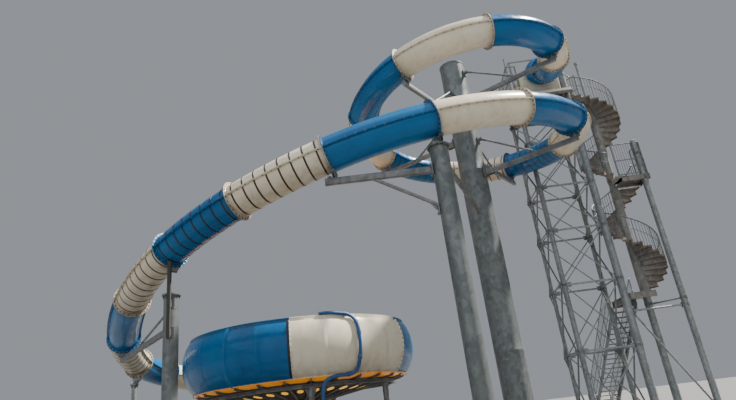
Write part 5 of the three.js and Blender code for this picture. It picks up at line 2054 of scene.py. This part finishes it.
    def railing(self, bag: MeshBag, points: list[Span], low: float, height: float,
                pitch: float = 0.11) -> None:
        """Railing along plan points: square posts, three rails and thin bars close together.

        Args:
            bag: mesh to add to.
            points: plan points (u, v) of its corners.
            low: height of the posts' feet.
            height: height of the railing.
            pitch: distance between the thin bars.
        """
        top, foot = low + height - 0.02, low + 0.0005
        levels = np.outer([low + 0.12, low + height / 2, top], UP)
        for number, (a, b) in enumerate(zip(points[:-1], points[1:])):
            start, end = self.at(*a, 0.0), self.at(*b, 0.0)
            length = float(np.linalg.norm(end - start))
            bag.bars(start + levels, end + levels, rounded(0.032, 0.04, 0.006))
            share = np.linspace(0, 1, max(1, round(length)) + 1)[min(number, 1):, None]
            feet = start + (end - start) * share
            bag.bars(feet + foot * UP, feet + (low + height - 0.008) * UP,
                     rounded(0.04, 0.04, 0.005))
            bag.bars(feet + foot * UP, feet + (low + 0.009) * UP, rounded(0.1, 0.1, 0.01))
            count = max(2, round(length / pitch))
            feet = start + (end - start) * ((np.arange(count) + 0.5) / count)[:, None]
            bag.bars(feet + (low + 0.11) * UP, feet + (top - 0.01) * UP, circle(0.01, 6))

    def slats(self, bag: MeshBag, us: Array, vs: Span, z: float, height: float) -> None:
        """Upright bars of a grating at the values us, between two values of v."""
        bag.bars(self.at(us, vs[0], z), self.at(us, vs[1], z), rounded(0.008, height, 0.002))

    def build_platform(self) -> None:
        """Deck on beams with the quarter landing, its railing and the tub of the start."""
        left, right, front, back = self.deck
        top, under, steel = self.deck_top, self.deck_top - 0.05, self.deck_top - 0.145
        radius, sector = self.stair_radius, (125, self.stair_top)
        bag = MeshBag()
        self.box(bag, (left, right), (front, back), (top - self.skin, top))
        self.box(bag, (0.121, 0.345), (0.26, 1.53), (top - self.skin, top))
        self.slats(bag, np.arange(left + 0.05, right - 0.03, 0.09), (front + 0.02, back - 0.02),
                   top - 0.032, 0.036)
        self.fan(bag, sector, (self.mast_gap, radius), (top - self.skin, top))
        self.fan(bag, sector, (radius - 0.012, radius + 0.004), (top - 0.1, top + 0.08), 1, 0.8)
        channel = channel_outline(0.06, 0.19, 0.008)
        us = np.array([left + 0.03, -2.02, -1.085, -0.21])
        vs = np.array([front + 0.03, 0.33, self.depth])
        bag.bars(self.at(us, front, steel), self.at(us, back, steel), channel, 1)
        bag.bars(self.at(left, vs, steel), self.at(right, vs, steel), channel, 1)
        self.box(bag, (left - 0.004, right + 0.004), (front - 0.006, front + 0.004),
                 (top - 0.11, top + 0.01), 2)
        degrees, vs = np.array([140, 160, 180, 200]), np.array([0.3, 1.49])
        bag.bars(self.round_mast(degrees, 0.15, under - 0.05),
                 self.round_mast(degrees, 1.05, under - 0.02), rounded(0.04, 0.08, 0.005), 1)
        bag.bars(self.at(-0.2, vs, under - 0.05), self.at(0.34, vs, under - 0.05),
                 rounded(0.05, 0.1, 0.005), 1)
        bag.hand_in("start_platform_deck", [*self.plates, self.finishes.cream], "grating",
                    "start_platform")
        near, far = -2.48, -0.38
        turns = [tuple(self.mast + r * np.array([math.cos(a), math.sin(a)]))
                 for a, r in ((math.radians(129), 1.04), (math.radians(134), 0.26))]
        bag = MeshBag()
        self.railing(bag, [(-2.07, far), (near, far), (near, 1.91), (0.08, 1.91), (0.08, 1.56),
                           *turns], top, 1.5)
        bag.bars(self.at(near, np.array([far, 0.0]), top + 1.45),
                 self.at(np.array([near, -2.2]), np.array([far, 0.0]), top + 1.95),
                 rounded(0.04, 0.04, 0.005))
        bag.hand_in("platform_railing_bars", [self.finishes.dark_zinc], "galvanised",
                    "platform_railing")
        self.build_tub()

    def build_tub(self) -> None:
        """Moulded tub with a rolled rim, pierced by the bell of the slide."""
        height, half, corner, back = 0.8, 0.015, 0.07, 0.95
        left, right, front = -2.03 + half, -0.28 - half, -0.4 + half
        bend = np.radians(np.linspace(0, 90, 7))
        out, down = corner * (1 - np.cos(bend)), corner * (1 - np.sin(bend))
        plan = np.concatenate([
            [(right, back), (right, 0.3)], np.stack([right - out, front + down], 1),
            np.stack([left + down, front + out], 1), [(left, 0.3), (left, back)]])
        outline = np.array([
            (-half, 0.0), (half, 0.0), (half, height - 0.05), (half + 0.022, height - 0.045),
            (half + 0.026, height - 0.01), (half + 0.016, height), (-half - 0.01, height),
            (-half - 0.016, height - 0.01), (-half - 0.014, height - 0.04),
            (-half, height - 0.045)])
        bag = MeshBag()
        bag.sweep(self.at(plan[:, 0], plan[:, 1], self.deck_top + 0.0005), outline * [-1, 1],
                  stain=np.array([0.9, 0.9, 0.25, 0.1, 0.0, 0.0, 0.0, 0.1, 0.2, 0.25]))
        tub = bag.build("start_housing_tub", [self.finishes.cream])
        cut(tub, self.tube.bell_body("bell_cutter"))
        place_piece(tub, "cream", "start_housing")

    def flight(self, word: str, top: float, start: float, count: int) -> None:
        """Closed winding flight: one pleated plate for treads and risers, edge and sleeve.

        Args:
            word: upper or lower.
            top: height that the first tread is one riser below.
            start: azimuth where the first tread starts.
            count: number of treads.
        """
        turn, steps, edge, under = self.tread_turn, 3, self.stair_radius, -0.008
        k = np.repeat(np.arange(count), steps + 1)
        azimuth = start + turn * (k + np.tile(np.arange(steps + 1) / steps, count))
        z = top - self.riser * (k + 1)
        columns = [(0.17, 0.0, 0.0), (edge - 0.01, 0.0, 0.0), (edge - 0.01, -1.2, under),
                   (0.17, -1.2, under)]
        grid = np.stack([self.round_mast(azimuth + shift, r, z + rise)
                         for r, shift, rise in columns], axis=1)
        bag = MeshBag()
        bag.sheet(grid, grime_and_shade=np.tile([0.1, 0.8, 0.8, 0.1], (len(z), 1)))
        for i in range(count):
            level, first = top - self.riser * (i + 1), start + turn * i
            last = first + turn + 0.4
            self.fan(bag, (first - 1.5, last), (edge - 0.011, edge),
                     (level - 0.05, level + 0.018), 1, 0.9)
            self.fan(bag, (last - 2.0, last), (0.3, edge - 0.012),
                     (level - 0.03, level + 0.003), 1, 0.5)
            self.fan(bag, (first - 0.9, first - 0.3), (edge - 0.012, edge),
                     (level, level + self.riser), 1, 0.8)
        low, high = top - self.riser * count - 0.06, top - self.riser + 0.02
        bag.lathe(tuple(self.at(*self.mast, 0.0)[:2]), np.array([
            (0.153, low), (0.175, low), (0.175, high), (0.153, high)]), 28)
        bag.hand_in(f"{word}_flight_plates", self.plates, "grating", f"stair_{word}_flight")

    def flight_rail(self, word: str, top: float, start: float, count: int,
                    first: list[Array]) -> None:
        """Handrail of a winding flight and the thin bars that hang past its treads.

        Args:
            word: upper or lower.
            top: height that the first tread is one riser below.
            start: azimuth where the first tread starts.
            count: number of treads.
            first: points where the handrail begins.
        """
        radius, rise, turn = self.stair_radius - 0.014, self.rail_height, self.tread_turn
        k = np.arange(3 * count) / 3 + 1 / 6
        tread = top - self.riser * (np.floor(k) + 1)
        azimuth, line = start + turn * k, top - self.riser * (k + 0.5) + rise
        bag = MeshBag()
        bag.bars(self.round_mast(azimuth, self.stair_radius + 0.009, tread - 0.075),
                 self.round_mast(azimuth, radius + 0.012, line), circle(0.0105, 6))
        bag.sweep(self.round_mast(azimuth, radius + 0.012, line - 0.45), circle(0.012, 8))
        bag.sweep(np.array([*first, *self.round_mast(azimuth, radius, line)]), circle(0.024, 14))
        bag.bars(self.round_mast(azimuth, radius, tread)[1::6],
                 self.round_mast(azimuth, radius, line)[1::6], circle(0.016, 10))
        bag.hand_in(f"{word}_flight_handrail", [self.finishes.dark_zinc], "galvanised",
                    f"{word}_flight_railing")

    def build_stairs(self) -> None:
        """Two winding flights with their railings and the landing between them."""
        upper = (self.deck_top, self.stair_top, self.upper_treads)
        lower = (self.landing_z, 0.0, self.lower_treads)
        self.flight("upper", *upper)
        self.flight("lower", *lower)
        self.flight_rail("upper", *upper, [
            self.at(self.mast_gap, 0.06, self.deck_top + self.rail_height)])
        self.flight_rail("lower", *lower, [])
        z, (u, v), radius = self.landing_z, self.mast, self.stair_radius
        right, front, inner = 2.36, -0.13, -0.126
        bag = MeshBag()
        for us, vs in (((u, right), (front, inner)), ((u + self.mast_gap, right), (inner, v)),
                       ((u, u + self.mast_gap), (inner, 0.74))):
            self.box(bag, us, vs, (z - self.skin, z))
        self.fan(bag, (255, 300), (self.mast_gap, radius), (z - self.skin, z))
        self.slats(bag, np.arange(u + 0.2, right - 0.06, 0.1), (front + 0.06, v - 0.02),
                   z - 0.03, 0.034)
        channel, steel = channel_outline(0.06, 0.2, 0.008), z - 0.12
        bag.bars(self.at(u, front + 0.03, steel), self.at(right, front + 0.03, steel), channel, 1)
        bag.bars(self.at(right - 0.03, front, steel), self.at(right - 0.03, v, steel), channel, 1)
        bag.bars(self.at(u + 0.15, v - 0.03, z - 0.085), self.at(right, v - 0.03, z - 0.085),
                 channel_outline(0.06, 0.13, 0.008), 1)
        self.fan(bag, (255, 272), (radius - 0.011, radius), (z - 0.07, z + 0.02), 1, 0.8)
        rails = MeshBag()
        self.railing(rails, [(u - 0.06, front + 0.04), (right - 0.04, front + 0.04),
                             (right - 0.04, v - 0.04)], z - 0.03, 1.53, 0.1)
        rails.hand_in("landing_balustrade", [self.finishes.dark_zinc], "galvanised")
        bag.hand_in("middle_landing_deck", self.plates, "grating", "middle_landing")

    def build_access(self) -> None:
        """Access landing at the foot of the winding stairs and the straight flight to it."""
        z, gap, mast_v = self.access_z, self.mast_gap, self.mast[1]
        left, right, front, back = 0.19, self.mast[0], -0.06, 1.98
        bag = MeshBag()
        self.box(bag, (left, right - gap), (front, back), (z - self.skin, z))
        for vs in ((front, mast_v - gap), (mast_v + gap, back)):
            self.box(bag, (right - gap - 0.001, right), vs, (z - self.skin, z))
        self.fan(bag, (72, 108), (gap, self.stair_radius), (z - 0.0143, z - 0.0003))
        self.slats(bag, np.arange(left + 0.1, right - 0.16, 0.1), (front + 0.06, back - 0.06),
                   z - 0.03, 0.034)
        channel, steel = channel_outline(0.06, 0.22, 0.008), z - 0.13
        vs = np.array([front, back]) + [0.03, -0.03]
        bag.bars(self.at(left, vs, steel), self.at(right, vs, steel), channel, 1)
        bag.bars(self.at(left + 0.03, front, steel), self.at(left + 0.03, back, steel), channel, 1)
        bag.hand_in("access_landing_deck", self.plates, "grating", "access_landing")
        self.build_access_flight(left + 0.02, right - 0.02, back + 0.0003)

    def build_access_flight(self, left: float, right: float, first: float) -> None:
        """Straight flight between its two stringers, with a railing on each.

        Args:
            left: value of u at the left stringer's middle.
            right: value of u at the right stringer's middle.
            first: value of v where the flight starts.
        """
        z, pitch = self.access_z, self.riser / self.going
        count = round(z / self.riser) - 1
        last = first + self.going * count
        bag = MeshBag()
        for u, way in ((left, 1), (right, -1)):
            top = self.at(u, first + 0.002, z - 0.18 - 0.002 * pitch)
            foot = self.at(u, last + 0.01, self.riser - 0.18 - 0.01 * pitch)
            bag.bars(foot, top, channel_outline(0.04, 0.225, 0.006) * [way, 1])
            ahead, points = unit(top - foot), bag.points[-1]
            sunk = points[:, 2] < 0
            points[sunk] -= points[sunk, 2:] / ahead[2] * ahead
            self.box(bag, (u - 0.08, u + 0.08), (last - 0.15, last + 0.15), (0.0, 0.02))
            bag.corner_bolts(BOLT, self.at(u, last, 0.02), (0.055, 0.11), self.turn)
        k = np.arange(1, count + 1)
        level, v = z - self.riser * k - 0.02, first + self.going * (k - 0.5)
        near, far = left + 0.006, right - 0.006
        bag.bars(self.at(near, v, level + 0.015), self.at(far, v, level + 0.015),
                 rounded(0.262, 0.008, 0.002), 2)
        for shift in (-0.127, 0.127):
            bag.bars(self.at(near, v + shift, level), self.at(far, v + shift, level),
                     rounded(0.008, 0.038, 0.002), 2)
        made = self.finishes
        bag.hand_in("access_flight_steps", [made.mottled_zinc, made.bolt, made.tread],
                    "galvanised", "access_flight")
        for word, u in (("left", left - 0.0403), ("right", right + 0.0403)):
            self.access_railing(word, u, first, last)

    def access_railing(self, word: str, u: float, first: float, last: float) -> None:
        """Railing beside the straight flight: handrail, two lower rails, posts and thin bars.

        Args:
            word: left or right.
            u: its plan position.
            first: value of v at its upper end.
            last: value of v at its lower end.
        """
        pitch = self.riser / self.going

        def line(v: Value, rise: float) -> Array:
            """Points at the values v, a rise above the line of the treads."""
            return self.at(u, v, self.access_z - 0.02 - (v - first) * pitch + rise)

        bag = MeshBag()
        bag.bars(line(last, 0.5), line(first + 0.07, 0.5), rounded(0.03, 0.036, 0.006))
        bag.bars(line(last, 1.0), line(first + 0.08, 1.0), circle(0.022, 12))
        bag.bars(line(last - 0.1, 0.08), line(first + 0.12, 0.08), rounded(0.024, 0.03, 0.004))
        posts = np.linspace(first + 0.12, last - 0.06, 6)
        bag.bars(line(posts, -0.25), line(posts, 0.99), rounded(0.04, 0.03, 0.004))
        thin = np.linspace(first + 0.16, last - 0.16, 52)
        bag.bars(line(thin, 0.06), line(thin, 0.99), circle(0.008, 6))
        bag.hand_in(f"access_railing_{word}_bars", [self.finishes.mottled_zinc], "galvanised",
                    f"access_railing_{word}")

    def build(self) -> None:
        """The whole tower."""
        self.build_frames()
        self.build_mast()
        self.build_platform()
        self.build_stairs()
        self.build_access()


@dataclass(frozen=True)
class Lamp:
    """A sun lamp: where it stands in the sky in degrees, power, width in degrees and colour."""

    name: str
    azimuth: float
    elevation: float
    power: float
    width: float
    colour: Colour

    def build(self) -> None:
        """Adds the lamp, which shines from its place in the sky towards the origin."""
        lamp = bpy.data.lights.new(self.name, "SUN")
        lamp.energy = self.power
        lamp.angle = math.radians(self.width)
        lamp.color = self.colour
        light = bpy.data.objects.new(self.name, lamp)
        tilt = math.pi / 2 - math.radians(self.elevation)
        light.matrix_world = (Matrix.Rotation(math.radians(self.azimuth), 4, "Z")
                              @ Matrix.Rotation(tilt, 4, "Y"))
        bpy.context.scene.collection.objects.link(light)


@dataclass(frozen=True)
class Stage:
    """Floor, sky colour, lamps and the camera at the photograph's place."""

    half_size: float = 140.0
    sky: Colour = (0.74, 0.79, 0.86)
    sky_strength: float = 0.4
    lamps: tuple[Lamp, ...] = (
        Lamp("key", 14.0, 53.0, 12.5, 2.0, (1.0, 0.96, 0.88)),
        Lamp("dome", -105.0, 48.0, 1.6, 95.0, (0.96, 0.98, 1.0)),
    )
    focal_length: float = 26.5
    eye: Colour = (-3.963, -18.41, 1.6)
    right: Colour = (0.99265, 0.04437, -0.11255)
    up: Colour = (0.12099, -0.36407, 0.92348)
    forward: Colour = (0.0, 0.93031, 0.36676)

    def build(self) -> None:
        """Everything round the slide."""
        self.build_floor()
        world = bpy.data.worlds.new("sky")
        bpy.context.scene.world = world
        world.use_nodes = True
        background = world.node_tree.nodes["Background"]
        background.inputs["Color"].default_value = (*self.sky, 1)
        background.inputs["Strength"].default_value = self.sky_strength
        for lamp in self.lamps:
            lamp.build()
        self.build_camera()

    def build_floor(self) -> None:
        """Wide pale floor at height zero."""
        s = self.half_size
        mesh = bpy.data.meshes.new("floor")
        mesh.from_pydata([(-s, -s, 0), (s, -s, 0), (s, s, 0), (-s, s, 0)], [], [(0, 1, 2, 3)])
        floor = bpy.data.objects.new("floor", mesh)
        n = Nodes("pale floor")
        shade = n.mix(n.ramp(n.noise(0.4, 3), 0.3, 0.7), (0.15, 0.15, 0.148),
                      (0.165, 0.165, 0.163))
        mesh.materials.append(n.surface(shade, n.ramp(n.noise(2.0, 2), 0, 1, 0.7, 0.8)))
        bpy.context.scene.collection.objects.link(floor)

    def build_camera(self) -> None:
        """Camera whose matrix has the columns right, up, backward and eye."""
        lens = bpy.data.cameras.new("camera")
        lens.lens = self.focal_length
        lens.sensor_width = 36.0
        lens.clip_end = 500.0
        camera = bpy.data.objects.new("camera", lens)
        rows = [(r, u, -f, e) for r, u, f, e in zip(self.right, self.up, self.forward, self.eye)]
        camera.matrix_world = Matrix((*rows, (0, 0, 0, 1)))
        bpy.context.scene.collection.objects.link(camera)
        bpy.context.scene.camera = camera


def main() -> None:
    """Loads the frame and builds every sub-assembly."""
    logging.basicConfig(level=logging.INFO, format="%(message)s")
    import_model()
    Stage().build()
    finishes = Finishes.make()
    course = Course()
    tube = SlideTube(course, finishes)
    tube.build()
    Bowl(course, finishes, tube).build()
    Steelwork(course, finishes).build()
    StairTower(finishes, tube).build()


if __name__ == "__main__":
    main()
